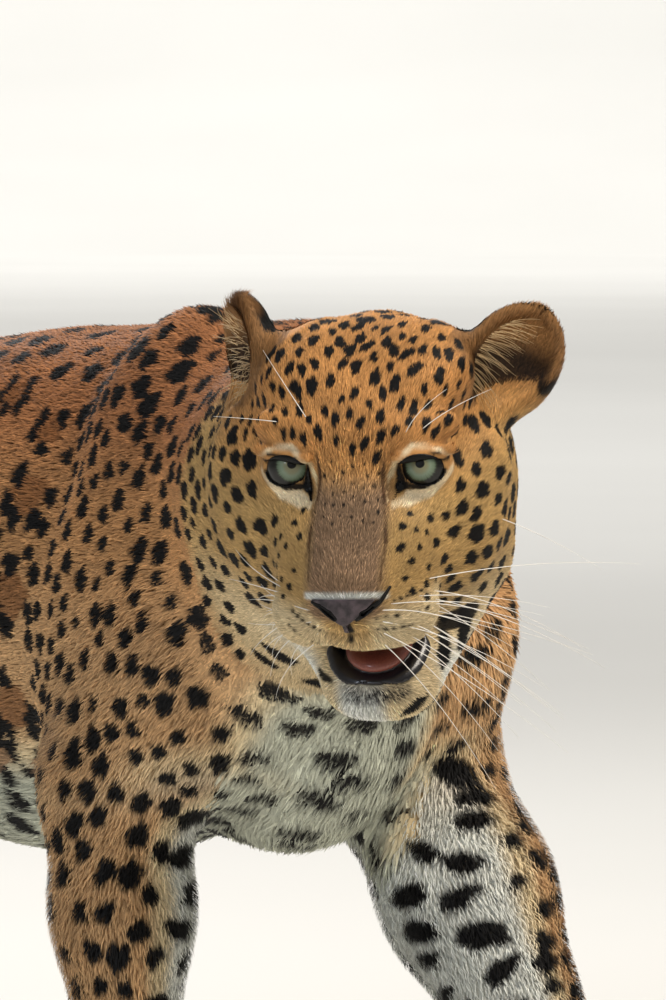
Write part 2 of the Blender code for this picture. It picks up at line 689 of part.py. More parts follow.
def build_tail(looks):
    """The tail's lengths, each cut square to the path."""
    points = tail_points()
    cuts = [TAIL_CUT]
    for i in TAIL_PARTED:
        cuts.append(keep(points[i], points[i + 1] - points[i - 1]))
    ends = [0] + list(TAIL_PARTED) + [len(points) - 1]
    for n, first in enumerate(cuts):
        block_cuts = [flip(first), keep((0, TAIL_CUT[0].y, 0), (0, -1, 0))]
        if n + 1 < len(cuts):
            block_cuts.append(cuts[n + 1])
        run = np.array(points[ends[n]:ends[n + 1] + 1])
        around = (run.min(0) - 0.06, run.max(0) + 0.06)
        part("tail_%d" % (n + 1), block_cuts, around, 0.006, 300, looks["orange"])


def build():
    for old in list(bpy.data.objects):
        bpy.data.objects.remove(old)
    looks = {
        "orange": material("orange coat", (0.42, 0.19, 0.055), 0.75),
        "tan": material("tan coat", (0.50, 0.29, 0.11), 0.75),
        "cream": material("cream coat", (0.66, 0.60, 0.44), 0.8),
        "leather": material("nose leather", (0.17, 0.10, 0.09), 0.4),
        "wet": material("wet tongue", (0.30, 0.08, 0.06), 0.25),
        "iris": material("grey green eye", (0.22, 0.28, 0.18), 0.05),
    }
    build_head(looks)
    build_trunk(looks)
    build_legs(looks)
    build_tail(looks)
    for made in bpy.data.objects:
        made.data.transform(Matrix.Translation(-CENTRE))


HEAD_CUT = keep((-0.050, -0.487, 0.60), (0.58, 0.81, 0))
NECK_CUT = keep((-0.02, -0.385, 0.60), (0.29, 0.93, -0.25))
HEAD_FLOOR = keep((0, 0, 0.40), (0, 0, -1))
NECK_FLOOR = keep((0, 0, 0.36), (0, 0, -1))
FLOOR = keep((0, 0, 0), (0, 0, -1))
TAIL_CUT = keep((0, TAIL_BACK, 0), (0, 1, 0))
TAIL_PARTED = (8, 12, 16)
build()
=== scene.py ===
from math import cos, pi, radians, sin

import bmesh
import bpy
import numpy as np
from mathutils import Matrix, Vector
from mathutils.kdtree import KDTree


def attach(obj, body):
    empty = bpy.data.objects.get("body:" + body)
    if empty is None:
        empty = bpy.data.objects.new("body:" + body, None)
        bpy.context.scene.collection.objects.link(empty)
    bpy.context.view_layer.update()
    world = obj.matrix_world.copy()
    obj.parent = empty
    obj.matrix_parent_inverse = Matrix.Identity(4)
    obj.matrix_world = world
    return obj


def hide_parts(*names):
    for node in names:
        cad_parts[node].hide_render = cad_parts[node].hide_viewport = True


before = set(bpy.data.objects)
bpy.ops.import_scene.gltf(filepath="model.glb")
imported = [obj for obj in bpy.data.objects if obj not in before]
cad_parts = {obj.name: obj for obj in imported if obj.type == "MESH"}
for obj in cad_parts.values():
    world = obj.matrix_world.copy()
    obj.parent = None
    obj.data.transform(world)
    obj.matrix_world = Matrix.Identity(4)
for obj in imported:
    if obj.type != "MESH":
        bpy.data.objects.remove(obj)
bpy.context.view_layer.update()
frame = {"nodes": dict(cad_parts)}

# Stance, in metres. The sides are -1 for the animal's right (-X) and 1 for its left.
SIDES = (-1, 1)
SIDE_NAME = {-1: "right", 1: "left"}
CENTRE = Vector((-0.0055, 0.1755, 0.0))

# The head has a frame of its own: +X to its left, -Y out of the nose, +Z out of the crown.
HEAD_AT = Vector((-0.0915, -0.5525, 0.594))
HEAD_TURN = (
    Matrix.Rotation(radians(-45.5), 3, "Z") @ Matrix.Rotation(radians(24), 3, "X")
    @ Matrix.Rotation(radians(-1), 3, "Y")
)
WORLD = (Matrix.Identity(3), Vector((0, 0, 0)))
HEAD = (HEAD_TURN, HEAD_AT)

# Face
EYE = (0.0443, -0.055, 0.038)
EYE_RADIUS = 0.0168
LID_RADIUS = 0.0192
EYE_CORNER = ((0.0345, -0.0715, 0.0375), (0.0295, -0.0735, 0.0320), (0.0265, -0.0815, 0.0285))
MOUTH = (0.010, -0.105, -0.0745)
MOUTH_SIZE = (0.029, 0.052, 0.0108)
MOUTH_TURN = 5
TONGUE_DROP = 0.003
NOSTRILS = (
    (((-0.0210, -0.1420, -0.0177), (-0.0155, -0.1455, -0.0192), (-0.0090, -0.1475, -0.0235),
      (-0.0058, -0.1480, -0.0270)),
     (0.0006, 0.0014, 0.0023, 0.0016)),
    (((0.0295, -0.1290, -0.0135), (0.0245, -0.1385, -0.0189), (0.0190, -0.1430, -0.0212),
      (0.0130, -0.1460, -0.0245),
      (0.0086, -0.1445, -0.0285)), (0.0006, 0.0011, 0.0016, 0.0023, 0.0016)),
)
EAR = {-1: (-0.084, 0.044, 0.069), 1: (0.088, 0.046, 0.062)}
EAR_SIZE = (0.036, 0.018, 0.044)
EAR_LEAN = {-1: 18, 1: 34}
EAR_OUT = {-1: 62, 1: 24}

# Legs: joints from the top down, one entry for each side
SHOULDER = {-1: (-0.090, -0.345, 0.475), 1: (0.100, -0.330, 0.475)}
ELBOW = {-1: (-0.110, -0.268, 0.370), 1: (0.118, -0.300, 0.375)}
WRIST = {-1: (-0.112, -0.290, 0.125), 1: (0.126, -0.480, 0.135)}
FOREPAW = {-1: (-0.114, -0.330, 0.0), 1: (0.126, -0.550, 0.0)}
HIP = {-1: (-0.070, 0.385, 0.555), 1: (0.070, 0.385, 0.555)}
KNEE = {-1: (-0.115, 0.330, 0.385), 1: (0.120, 0.245, 0.385)}
HOCK = {-1: (-0.100, 0.545, 0.225), 1: (0.104, 0.400, 0.205)}
HINDPAW = {-1: (-0.102, 0.520, 0.0), 1: (0.102, 0.315, 0.0)}
SHOULDER_LIFT = {-1: 0.012, 1: -0.005}
SHOULDER_BACK = {-1: -0.315, 1: -0.275}
FOREARM_GIRTH = {-1: 1.0, 1: 1.25}
FOREPAW_SIZE = (0.048, 0.062)
HINDPAW_SIZE = (0.042, 0.055)
TOES = ((-0.68, -0.30), (-0.24, -0.62), (0.24, -0.62), (0.68, -0.30))

# Tail
TAIL_PATH = (
    (0, 0.47, 0.590), (0, 0.545, 0.535), (0, 0.61, 0.42), (0.005, 0.67, 0.29),
    (0.015, 0.76, 0.195), (0.03, 0.87, 0.175), (0.045, 0.96, 0.23), (0.05, 0.99, 0.31),
)
TAIL_STEPS = 3
TAIL_ROOT = 0.030
TAIL_TIP = 0.019


class Ball:
    """An ellipsoid, turned by degrees about its own X, Y and Z."""

    def __init__(self, centre, radii, soft=0.03, op="join", frame=WORLD, turn=(0, 0, 0)):
        self.op = op
        self.soft = soft
        spin = Matrix.Identity(3)
        for angle, axis in zip(turn, "XYZ"):
            spin = Matrix.Rotation(radians(angle), 3, axis) @ spin
        self.axes = np.array(frame[0] @ spin)
        self.centre = np.array(frame[1] + frame[0] @ Vector(centre))
        self.radii = np.array(radii)
        reach = np.sqrt(((self.axes * self.radii) ** 2).sum(1))
        self.low = self.centre - reach
        self.high = self.centre + reach

    def distance(self, points):
        local = (points - self.centre) @ self.axes
        scaled = np.sqrt(((local / self.radii) ** 2).sum(1))
        steep = np.sqrt(((local / self.radii**2) ** 2).sum(1))
        return scaled * (scaled - 1) / np.maximum(steep, 1e-9)


class Rod:
    """A rod with round ends and a radius at each end. With flat under 1 it is narrower along side."""

    def __init__(self, start, end, start_radius, end_radius, soft=0.03, op="join", frame=WORLD, flat=1.0):
        self.op = op
        self.soft = soft
        self.flat = flat
        self.start = np.array(frame[1] + frame[0] @ Vector(start))
        self.end = np.array(frame[1] + frame[0] @ Vector(end))
        self.side = np.array(frame[0] @ Vector((1, 0, 0)))
        self.radii = (start_radius, end_radius)
        reach = max(self.radii)
        self.low = np.minimum(self.start, self.end) - reach
        self.high = np.maximum(self.start, self.end) + reach

    def widen(self, vectors):
        return vectors + np.multiply.outer(vectors @ self.side, self.side) * (1 / self.flat - 1)

    def distance(self, points):
        along = self.widen(self.end - self.start)
        local = self.widen(points - self.start)
        share = np.clip(local @ along / (along @ along), 0, 1)
        away = np.sqrt(((local - share[:, None] * along) ** 2).sum(1))
        return (away - self.radii[0] - share * (self.radii[1] - self.radii[0])) * self.flat


def between(a, b, share):
    """The point at a share of the way from one point to another."""
    return tuple(p + (q - p) * share for p, q in zip(a, b))


def head_forms():
    """Skull, face, jaw and ears, in the head's frame. Later forms are joined to the ones before them."""
    forms = []

    def ball(*args, **kw):
        forms.append(Ball(*args, frame=HEAD, **kw))

    def rod(*args, **kw):
        forms.append(Rod(*args, frame=HEAD, **kw))

    ball((0, 0.025, 0.036), (0.068, 0.088, 0.066), 0.03)
    ball((0, -0.028, 0.048), (0.050, 0.046, 0.036), 0.03)
    for s in SIDES:
        # crown, cheek, jaw muscle, face below the eye, cheekbone
        ball((s * 0.038, 0.010, 0.076), (0.034, 0.048, 0.024), 0.02)
        ball((s * 0.052, 0.004, -0.016), (0.037, 0.058, 0.058), 0.025)
        ball((s * 0.040, 0.050, -0.015), (0.042, 0.055, 0.068), 0.03)
        ball((s * 0.045, -0.034, -0.026), (0.033, 0.044, 0.046), 0.025)
        rod((s * 0.050, -0.052, 0.012), (s * 0.072, -0.004, 0.014), 0.012, 0.018, 0.02)
        ball((s * 0.030, -0.078, -0.016), (0.026, 0.040, 0.038), 0.02)
    for s in SIDES:
        # bridge of the nose
        rod((s * 0.009, -0.046, 0.042), (s * 0.0090, -0.126, -0.013), 0.0200, 0.0175, 0.012)
    ball((0, -0.090, -0.028), (0.042, 0.048, 0.033), 0.016)
    for s in SIDES:
        # lip pad that carries the whiskers
        ball((s * 0.028, -0.105, -0.041), (0.028, 0.032, 0.0245), 0.009)
    ball((0, -0.133, -0.027), (0.023, 0.014, 0.015), 0.010)
    ball((0.006, -0.115, -0.0520), (0.027, 0.0205, 0.0125), 0.008)
    # chin, branches of the lower jaw, throat
    ball((0.009, -0.094, -0.1025), (0.032, 0.031, 0.024), 0.012)
    for s in SIDES:
        rod((0.009 + s * 0.017, -0.086, -0.102), (s * 0.046, 0.010, -0.062), 0.023, 0.038, 0.02)
    ball((0, -0.02, -0.085), (0.042, 0.06, 0.035), 0.03)
    for s in SIDES:
        # eye socket, brow, lids and the slit between them
        ball((s * 0.046, -0.080, 0.038), (0.018, 0.018, 0.013), 0.012, op="carve", turn=(0, 0, s * 22))
        rod((s * 0.030, -0.062, 0.063), (s * 0.060, -0.044, 0.062), 0.007, 0.008, 0.014)
        ball((s * EYE[0], EYE[1] + 0.001, EYE[2]), (LID_RADIUS,) * 3, 0.008)
        slit = (s * (EYE[0] + 0.0030), EYE[1] - 0.020, EYE[2] + 0.0055)
        ball(slit, (0.0176, 0.018, 0.0118), 0.002, op="carve", turn=(0, s * 14, s * 16))
        corner = [(s * x, y, z) for x, y, z in EYE_CORNER]
        rod(corner[0], corner[1], 0.0028, 0.0022, 0.003, op="carve")
        rod(corner[1], corner[2], 0.0022, 0.0013, 0.003, op="carve")
        rod((s * 0.029, -0.0750, 0.0530), (s * 0.064, -0.0580, 0.0510), 0.0038, 0.0036, 0.004)
    for line, radii in NOSTRILS:
        for a, b, first, last in zip(line, line[1:], radii, radii[1:]):
            rod(a, b, first, last, 0.001, op="carve")
    rod((0, -0.147, -0.036), (0.001, -0.142, -0.055), 0.0022, 0.0028, 0.004, op="carve")
    ball(MOUTH, MOUTH_SIZE, 0.006, op="carve", turn=(MOUTH_TURN, 0, 0))
    ball((MOUTH[0], MOUTH[1] + 0.017, MOUTH[2] - TONGUE_DROP), (0.021, 0.030, 0.0075), 0.003,
         turn=(MOUTH_TURN, 0, 0))
    for s in SIDES:
        # shell of the ear and its cup
        turn = (0, s * EAR_LEAN[s], s * EAR_OUT[s])
        out = radians(EAR_OUT[s])
        ball(EAR[s], EAR_SIZE, 0.016, turn=turn)
        cup = (EAR[s][0] + s * 0.021 * sin(out), EAR[s][1] - 0.021 * cos(out), EAR[s][2] + 0.006)
        ball(cup, (0.028, 0.025, 0.035), 0.005, op="carve", turn=turn)
    return forms


def paw_forms(at, size):
    """A pad and four toes; the soles reach below the floor and are cut flat there."""
    x, y = at[:2]
    wide, long = size
    forms = [Ball((x, y + 0.012, 0.028), (wide * 0.86, long * 0.72, 0.036), 0.015)]
    for dx, dy in TOES:
        radii = (wide * 0.32, long * 0.46, 0.026)
        forms.append(Ball((x + dx * wide, y + dy * long, 0.020), radii, 0.008, turn=(0, 0, -dx * 12)))
    return forms


def trunk_forms():
    """Forms of the trunk, the neck and the shoulder blades."""
    forms = [
        # rib cage, breast, loin, belly, rump, back, withers
        Ball((0, -0.10, 0.492), (0.128, 0.28, 0.183), 0.05),
        Ball((0, -0.320, 0.450), (0.092, 0.120, 0.125), 0.05),
        Ball((0, 0.16, 0.520), (0.108, 0.23, 0.135), 0.06),
        Ball((0, 0.08, 0.415), (0.092, 0.28, 0.102), 0.06),
        Ball((0, 0.375, 0.555), (0.105, 0.150, 0.115), 0.06),
        Ball((0, -0.10, 0.600), (0.070, 0.28, 0.068), 0.05),
        Ball((0, -0.26, 0.605), (0.075, 0.15, 0.080), 0.05),
        # neck, in two bends, and throat
        Rod((0, -0.31, 0.560), (-0.045, -0.43, 0.575), 0.112, 0.100, 0.05),
        Rod((-0.045, -0.43, 0.575), (-0.095, -0.515, 0.590), 0.100, 0.090, 0.04),
        Rod((-0.02, -0.36, 0.47), (-0.075, -0.49, 0.53), 0.080, 0.065, 0.05),
    ]
    for s in SIDES:
        # shoulder blade
        blade = (s * 0.078, SHOULDER_BACK[s], 0.570 + SHOULDER_LIFT[s])
        forms.append(Ball(blade, (0.052, 0.095, 0.125), 0.04, turn=(-15, s * -10, 0)))
    return forms


def foreleg_forms(s):
    """Forms of one foreleg with its paw."""
    girth = FOREARM_GIRTH[s]
    middle = between(ELBOW[s], WRIST[s], 0.35)
    ankle = (WRIST[s][0], (WRIST[s][1] + FOREPAW[s][1]) / 2 + 0.005, 0.055)
    return [
        Ball(SHOULDER[s], (0.052, 0.080, 0.095), 0.04),
        Rod(SHOULDER[s], ELBOW[s], 0.072, 0.056, 0.04, flat=0.8),
        Ball((s * 0.098, -0.255, 0.455), (0.042, 0.075, 0.110), 0.04),
        Rod(ELBOW[s], middle, 0.053 * girth, 0.049 * girth, 0.03, flat=0.92),
        Rod(middle, WRIST[s], 0.049 * girth, 0.034 * girth**0.6, 0.03, flat=0.95),
        Rod(WRIST[s], ankle, 0.034 * girth**0.6, 0.035, 0.02),
    ] + paw_forms(FOREPAW[s], FOREPAW_SIZE)


def hindleg_forms(s):
    """Forms of one hind leg with its paw."""
    middle = between(KNEE[s], HOCK[s], 0.4)
    ankle = (HINDPAW[s][0], HINDPAW[s][1] + 0.035, 0.050)
    return [
        Rod(HIP[s], KNEE[s], 0.105, 0.062, 0.05, flat=0.65),
        Ball((s * 0.078, 0.43, 0.47), (0.050, 0.085, 0.12), 0.05),
        Rod(KNEE[s], middle, 0.058, 0.046, 0.04, flat=0.8),
        Rod(middle, HOCK[s], 0.046, 0.028, 0.03, flat=0.8),
        Rod(HOCK[s], ankle, 0.029, 0.028, 0.02, flat=0.9),
    ] + paw_forms(HINDPAW[s], HINDPAW_SIZE)


def tail_points():
    """A smooth curve through the tail's path."""
    path = [Vector(p) for p in TAIL_PATH]
    points = []
    for i in range(len(path) - 1):
        p0, p1, p2, p3 = path[max(i - 1, 0)], path[i], path[i + 1], path[min(i + 2, len(path) - 1)]
        for step in range(TAIL_STEPS):
            t = step / TAIL_STEPS
            bend = (p2 - p0) * t + (2 * p0 - 5 * p1 + 4 * p2 - p3) * t**2
            bend = bend + (3 * p1 - p0 - 3 * p2 + p3) * t**3
            points.append(p1 + bend / 2)
    points.append(path[-1])
    return points


def tail_forms():
    """Rods along the tail, thinner towards the tip."""
    points = tail_points()
    forms = []
    for i in range(len(points) - 1):
        radii = [TAIL_ROOT + (TAIL_TIP - TAIL_ROOT) * k / (len(points) - 1) for k in (i, i + 1)]
        forms.append(Rod(points[i], points[i + 1], radii[0], radii[1], 0.012 if i else 0.05))
    return forms


def body_forms():
    """All forms of the animal, in the order in which they are joined and carved."""
    forms = trunk_forms()
    for s in SIDES:
        forms += foreleg_forms(s)
    for s in SIDES:
        forms += hindleg_forms(s)
    return forms + tail_forms() + head_forms()


FORMS = body_forms()


def field(points):
    """Distance to the body's surface, below zero inside. Each form acts only near itself."""
    total = np.full(len(points), 0.12)
    for form in FORMS:
        margin = form.soft + 0.02
        near = np.flatnonzero(((points > form.low - margin) & (points < form.high + margin)).all(1))
        if not len(near):
            continue
        here = form.distance(points[near])
        so_far = total[near]
        if form.op == "join":
            blend = np.maximum(form.soft - np.abs(so_far - here), 0) / form.soft
            total[near] = np.minimum(so_far, here) - blend**2 * form.soft / 4
        else:
            blend = np.maximum(form.soft - np.abs(so_far + here), 0) / form.soft
            total[near] = np.maximum(so_far, -here) + blend**2 * form.soft / 4
    return total


def sample(function, low, counts, step):
    """Values of a field on a grid. Far from the surface each takes the value of the nearest sparse point."""
    sparse = [low[i] + 4 * step * np.arange(counts[i] // 4 + 2) for i in range(3)]
    rough = function(np.stack(np.meshgrid(*sparse, indexing="ij"), -1).reshape(-1, 3))
    rough = rough.reshape([len(line) for line in sparse])
    values = rough[np.ix_(*[(np.arange(n) + 2) // 4 for n in counts])]
    near = np.argwhere(np.abs(values) < 6 * step)
    for start in range(0, len(near), 200000):
        some = near[start:start + 200000]
        values[tuple(some.T)] = function(low + some * step)
    return values


CORNERS = [(i, j, k) for i in (0, 1) for j in (0, 1) for k in (0, 1)]


def linked(mask):
    """Groups the inside corners of a grid cell: for each corner, the first corner that it is joined to."""
    group = list(range(8))
    for _ in range(8):
        for a in range(8):
            for bit in (1, 2, 4):
                if mask >> a & 1 and mask >> (a ^ bit) & 1:
                    group[a] = group[a ^ bit] = min(group[a], group[a ^ bit])
    return group


def surface(function, low, high, step):
    """Closed quad mesh of a field's zero surface.

    Each grid cell that the surface crosses has one vertex for each group of joined inside corners.
    """
    low = np.array(low)
    counts = tuple(int(n) for n in np.ceil((np.array(high) - low) / step) + 1)
    values = sample(function, low, counts, step)
    inside = values < 0
    masks = np.zeros([n - 1 for n in counts], int)
    for bit, corner in enumerate(CORNERS):
        masks |= inside[tuple(slice(c, c + n) for c, n in zip(corner, masks.shape))].astype(int) << bit
    groups = np.array([linked(mask) for mask in range(256)])
    index = np.full(masks.shape + (8,), -1)
    total = []
    for corner in range(8):
        cells = np.argwhere((groups[masks, corner] == corner) & (masks >> corner & 1 == 1) & (masks < 255))
        index[tuple(cells.T) + (corner,)] = np.arange(len(cells)) + len(total)
        total.extend(np.column_stack([cells, np.full(len(cells), corner)]))
    total = np.array(total)
    spots = np.zeros((len(total), 3))
    hits = np.zeros(len(total))
    cells = total[:, :3]
    kinds = groups[masks[tuple(cells.T)]]
    for bit, corner in enumerate(CORNERS):
        for axis in range(3):
            other = np.array(corner)
            other[axis] = 1 - corner[axis]
            a = values[tuple((cells + corner).T)]
            b = values[tuple((cells + other).T)]
            crossed = (a < 0) & (b >= 0) & (kinds[:, bit] == total[:, 3])
            spot = np.tile(np.array(corner, float), (crossed.sum(), 1))
            spot[:, axis] += (other[axis] - corner[axis]) * a[crossed] / (a[crossed] - b[crossed])
            spots[crossed] += spot
            hits[crossed] += 1
    verts = low + (cells + spots / hits[:, None]) * step
    quads = []
    for axis in range(3):
        first, second = (axis + 1) % 3, (axis + 2) % 3
        below = np.take(inside, range(counts[axis] - 1), axis)
        above = np.take(inside, range(1, counts[axis]), axis)
        edges = np.argwhere(below != above)
        outward = below[tuple(edges.T)]
        ring = []
        for back_first, back_second in ((1, 1), (0, 1), (0, 0), (1, 0)):
            cell = edges.copy()
            cell[:, first] -= back_first
            cell[:, second] -= back_second
            corner = np.zeros_like(edges)
            corner[:, axis] = ~outward
            corner[:, first] = back_first
            corner[:, second] = back_second
            group = groups[masks[tuple(cell.T)], corner @ (4, 2, 1)]
            ring.append(index[tuple(cell.T) + (group,)])
        ring = np.stack(ring, 1)
        ring[~outward] = ring[~outward][:, ::-1]
        quads.append(ring)
    return settle(function, verts), np.concatenate(quads)


def settle(function, verts, rounds=2, reach=1e-4):
    """Moves vertices along the field's slope onto its surface."""
    for _ in range(rounds):
        slope = np.empty_like(verts)
        for axis in range(3):
            nudge = np.eye(3)[axis] * reach
            slope[:, axis] = (function(verts + nudge) - function(verts - nudge)) / (2 * reach)
        steep = np.maximum((slope**2).sum(1), 0.04)
        verts = verts - slope * (function(verts) / steep)[:, None]
    return verts


# The body's bones, with the lie of the coat along each: start, end, girth, lie
def bones():
    """The table of bones for both sides."""
    head = [tuple(HEAD_AT + HEAD_TURN @ Vector(p)) for p in ((0, -0.12, -0.02), (0, 0.06, 0.02))]
    table = [
        ("trunk", (0, -0.34, 0.53), (0, 0.48, 0.56), 0.15, (0, 1, -0.12)),
        ("trunk", (0, -0.20, 0.44), (0, 0.20, 0.44), 0.12, (0, 1, -0.05)),
        ("trunk", (0, -0.40, 0.46), (0, -0.32, 0.40), 0.09, (0, 0.35, -0.9)),
        ("neck", (-0.095, -0.515, 0.59), (0, -0.36, 0.58), 0.11, (0.3, 0.9, -0.1)),
        ("neck", (-0.075, -0.49, 0.53), (-0.02, -0.38, 0.48), 0.08, (0.25, 0.6, -0.65)),
        ("head", head[0], head[1], 0.06, (0, 1, 0)),
    ]
    for s in SIDES:
        side = SIDE_NAME[s]
        toe = (FOREPAW[s][0], FOREPAW[s][1] - 0.05, 0.02)
        ankle = (WRIST[s][0], (WRIST[s][1] + FOREPAW[s][1]) / 2, 0.05)
        chain = [SHOULDER[s], ELBOW[s], WRIST[s], ankle, toe]
        girths = [0.07, 0.045, 0.035, 0.035]
        for a, b, girth in zip(chain, chain[1:], girths):
            lie = Vector(b) - Vector(a)
            table.append(("foreleg_" + side, a, b, girth, lie))
        toe = (HINDPAW[s][0], HINDPAW[s][1] - 0.045, 0.02)
        ankle = (HINDPAW[s][0], HINDPAW[s][1] + 0.03, 0.05)
        chain = [HIP[s], KNEE[s], HOCK[s], ankle, toe]
        girths = [0.07, 0.05, 0.028, 0.03]
        for i, (a, b, girth) in enumerate(zip(chain, chain[1:], girths)):
            lie = Vector(b) - Vector(a) if i else Vector((0, 0.5, -1))
            table.append(("hindleg_" + side, a, b, girth, lie))
    for a, b in zip(TAIL_PATH[1:], TAIL_PATH[2:]):
        table.append(("tail", a, b, 0.025, Vector(b) - Vector(a)))
    return table


BONES = bones()
LIMBS = ["head", "neck", "trunk", "foreleg_right", "foreleg_left", "hindleg_right", "hindleg_left", "tail"]
HEAD_MATRIX = np.array(HEAD_TURN)
NOSE = np.array((0, -0.165, -0.035))


def linear(text):
    """An sRGB hex colour as linear light."""
    parts = np.array([int(text[i:i + 2], 16) / 255 for i in (0, 2, 4)])
    return np.where(parts <= 0.04045, parts / 12.92, ((parts + 0.055) / 1.055) ** 2.4)


def smooth(low, high, value):
    """A soft step from 0 at low to 1 at high."""
    share = np.clip((value - low) / (high - low), 0, 1)
    return share * share * (3 - 2 * share)


def mix(first, second, share):
    """Blends two rows of colours or directions."""
    return first + (second - first) * np.asarray(share)[..., None]


def unit(vectors):
    """The same directions with length 1."""
    return vectors / np.maximum(np.linalg.norm(vectors, axis=-1, keepdims=True), 1e-9)


def ripple(points, size, seed):
    """Soft noise between about -1 and 1 from a few waves, for slow changes of colour and length."""
    waves = np.random.default_rng(seed).normal(size=(6, 3)) * 2 * pi / size / 1.7
    phases = np.arange(6) * 1.3 + seed
    return np.sin(points @ waves.T + phases).mean(1) * 2


def in_head(points):
    """Points as the head's own frame sees them."""
    return (points - np.array(HEAD_AT)) @ HEAD_MATRIX


def head_plane(points):
    """Distance behind the cut at the back of the head."""
    return (points - np.array((-0.050, -0.487, 0.60))) @ np.array(Vector((0.58, 0.81, 0)).normalized())


def ear_turn(s):
    """The ear's own turn on the head."""
    out = Matrix.Rotation(radians(s * EAR_OUT[s]), 3, "Z")
    return out @ Matrix.Rotation(radians(s * EAR_LEAN[s]), 3, "Y")


def survey(points):
    """For each point: its limb's number and the lie of the coat there, not yet laid on the skin."""
    near = np.empty((len(points), len(BONES)))
    for i, (_, start, end, girth, _) in enumerate(BONES):
        a, b = np.array(start), np.array(end)
        share = np.clip((points - a) @ (b - a) / ((b - a) @ (b - a)), 0, 1)
        near[:, i] = np.linalg.norm(points - a - share[:, None] * (b - a), axis=1) - girth
    limb_of = np.array([LIMBS.index(bone[0]) for bone in BONES])
    limb = limb_of[near.argmin(1)]
    limb[(head_plane(points) < 0) & (points[:, 2] > 0.41)] = 0
    weight = np.exp(-(near - near.min(1, keepdims=True)) / 0.02)
    lies = unit(np.array([np.array(bone[4]) for bone in BONES]))
    lie = weight @ lies
    local = in_head(points)
    away = (local - NOSE) @ HEAD_MATRIX.T
    share = smooth(0.03, -0.03, head_plane(points)) * (points[:, 2] > 0.40)
    lie = mix(unit(lie), unit(away), share)
    for s in SIDES:
        spin = ear_turn(s)
        tip = np.array(HEAD_TURN @ (spin @ Vector((0, 0, 1))))
        reach = np.linalg.norm(local - np.array(EAR[s]) - (0, 0, 0.006), axis=1)
        lie = mix(unit(lie), tip, smooth(0.055, 0.035, reach))
    return limb, unit(lie)


def coat_depth(points):
    """How far the skin lies under the coat's surface."""
    local = in_head(points)
    face = smooth(0.09, 0.20, np.linalg.norm(local - np.array((0, -0.06, 0.0)), axis=1))
    depth = 0.0016 + 0.0039 * face
    for s in SIDES:
        lids = np.linalg.norm(local - np.array((s * EYE[0], EYE[1], EYE[2])), axis=1)
        depth = np.minimum(depth, 0.0004 + 0.005 * smooth(0.022, 0.05, lids))
        ear = np.linalg.norm(local - np.array(EAR[s]) - (0, 0, 0.01), axis=1)
        depth = np.minimum(depth, 0.0012 + 0.006 * smooth(0.045, 0.075, ear))
    paws = 0.0022 + 0.0035 * smooth(0.05, 0.25, points[:, 2])
    return np.minimum(depth, paws)


def skin_field(points):
    """Distance to the skin, kept just above the floor."""
    return np.maximum(field(points) + coat_depth(points), 0.0002 - points[:, 2])


def mesh_object(name, verts, faces):
    """An object at the origin, its mesh moved so that the middle of the stance is the origin."""
    data = bpy.data.meshes.new(name)
    data.from_pydata((np.asarray(verts) - np.array(CENTRE)).tolist(), [], np.asarray(faces).tolist())
    made = bpy.data.objects.new(name, data)
    bpy.context.scene.collection.objects.link(made)
    data.shade_smooth()
    return made


def colour_points(made, name, colours):
    """Writes one colour for each vertex."""
    layer = made.data.color_attributes.new(name, "FLOAT_COLOR", "POINT")
    flat = np.ones((len(made.data.vertices), 4))
    flat[:, :3] = colours
    layer.data.foreach_set("color", flat.ravel())


def points_of(made):
    """A mesh's vertices as the forms' own coordinates."""
    flat = np.empty(len(made.data.vertices) * 3)
    made.data.vertices.foreach_get("co", flat)
    return flat.reshape(-1, 3) + np.array(CENTRE)


def make_skin():
    """One skin: the head meshed finely, the rest more coarsely, sewn together round the neck."""
    cut = (Vector((-0.050, -0.487, 0.60)), Vector((0.58, 0.81, 0)).normalized())
    fine, coarse = ((0.0022, 0.006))
    sewn = bmesh.new()
    around = np.array(HEAD_AT)
    for part, step in (("head", fine), ("body", coarse)):
        if part == "head":
            low, high = around - 0.19, around + 0.19
        else:
            low = np.min([f.low for f in FORMS if f.op == "join"], 0) - 0.02
            high = np.max([f.high for f in FORMS if f.op == "join"], 0) + 0.02

        def boxed(points):
            return np.maximum(skin_field(points),
                              (np.abs(points - (low + high) / 2) - (high - low) / 2).max(1))

        verts, quads = surface(boxed, low - 2 * step, high + 2 * step, step)
        data = bpy.data.meshes.new("skin")
        data.from_pydata(verts.tolist(), [], quads.tolist())
        piece = bmesh.new()
        piece.from_mesh(data)
        way = 1 if part == "head" else -1
        faces = [f for f in piece.faces if f.calc_center_median().z > 0.40]
        parts = faces + list({e for f in faces for e in f.edges})
        parts += list({v for f in faces for v in f.verts})
        at = cut[0] - cut[1] * way * 0.002
        bmesh.ops.bisect_plane(piece, geom=parts, plane_co=at, plane_no=cut[1] * way, clear_outer=True)
        piece.to_mesh(data)
        piece.free()
        sewn.from_mesh(data)
    bmesh.ops.bridge_loops(sewn, edges=[e for e in sewn.edges if e.is_boundary])
    bmesh.ops.recalc_face_normals(sewn, faces=sewn.faces)
    data = bpy.data.meshes.new("skin")
    sewn.to_mesh(data)
    sewn.free()
    made = bpy.data.objects.new("skin", data)
    bpy.context.scene.collection.objects.link(made)
    data.transform(Matrix.Translation(-CENTRE))
    data.shade_smooth()
    return made


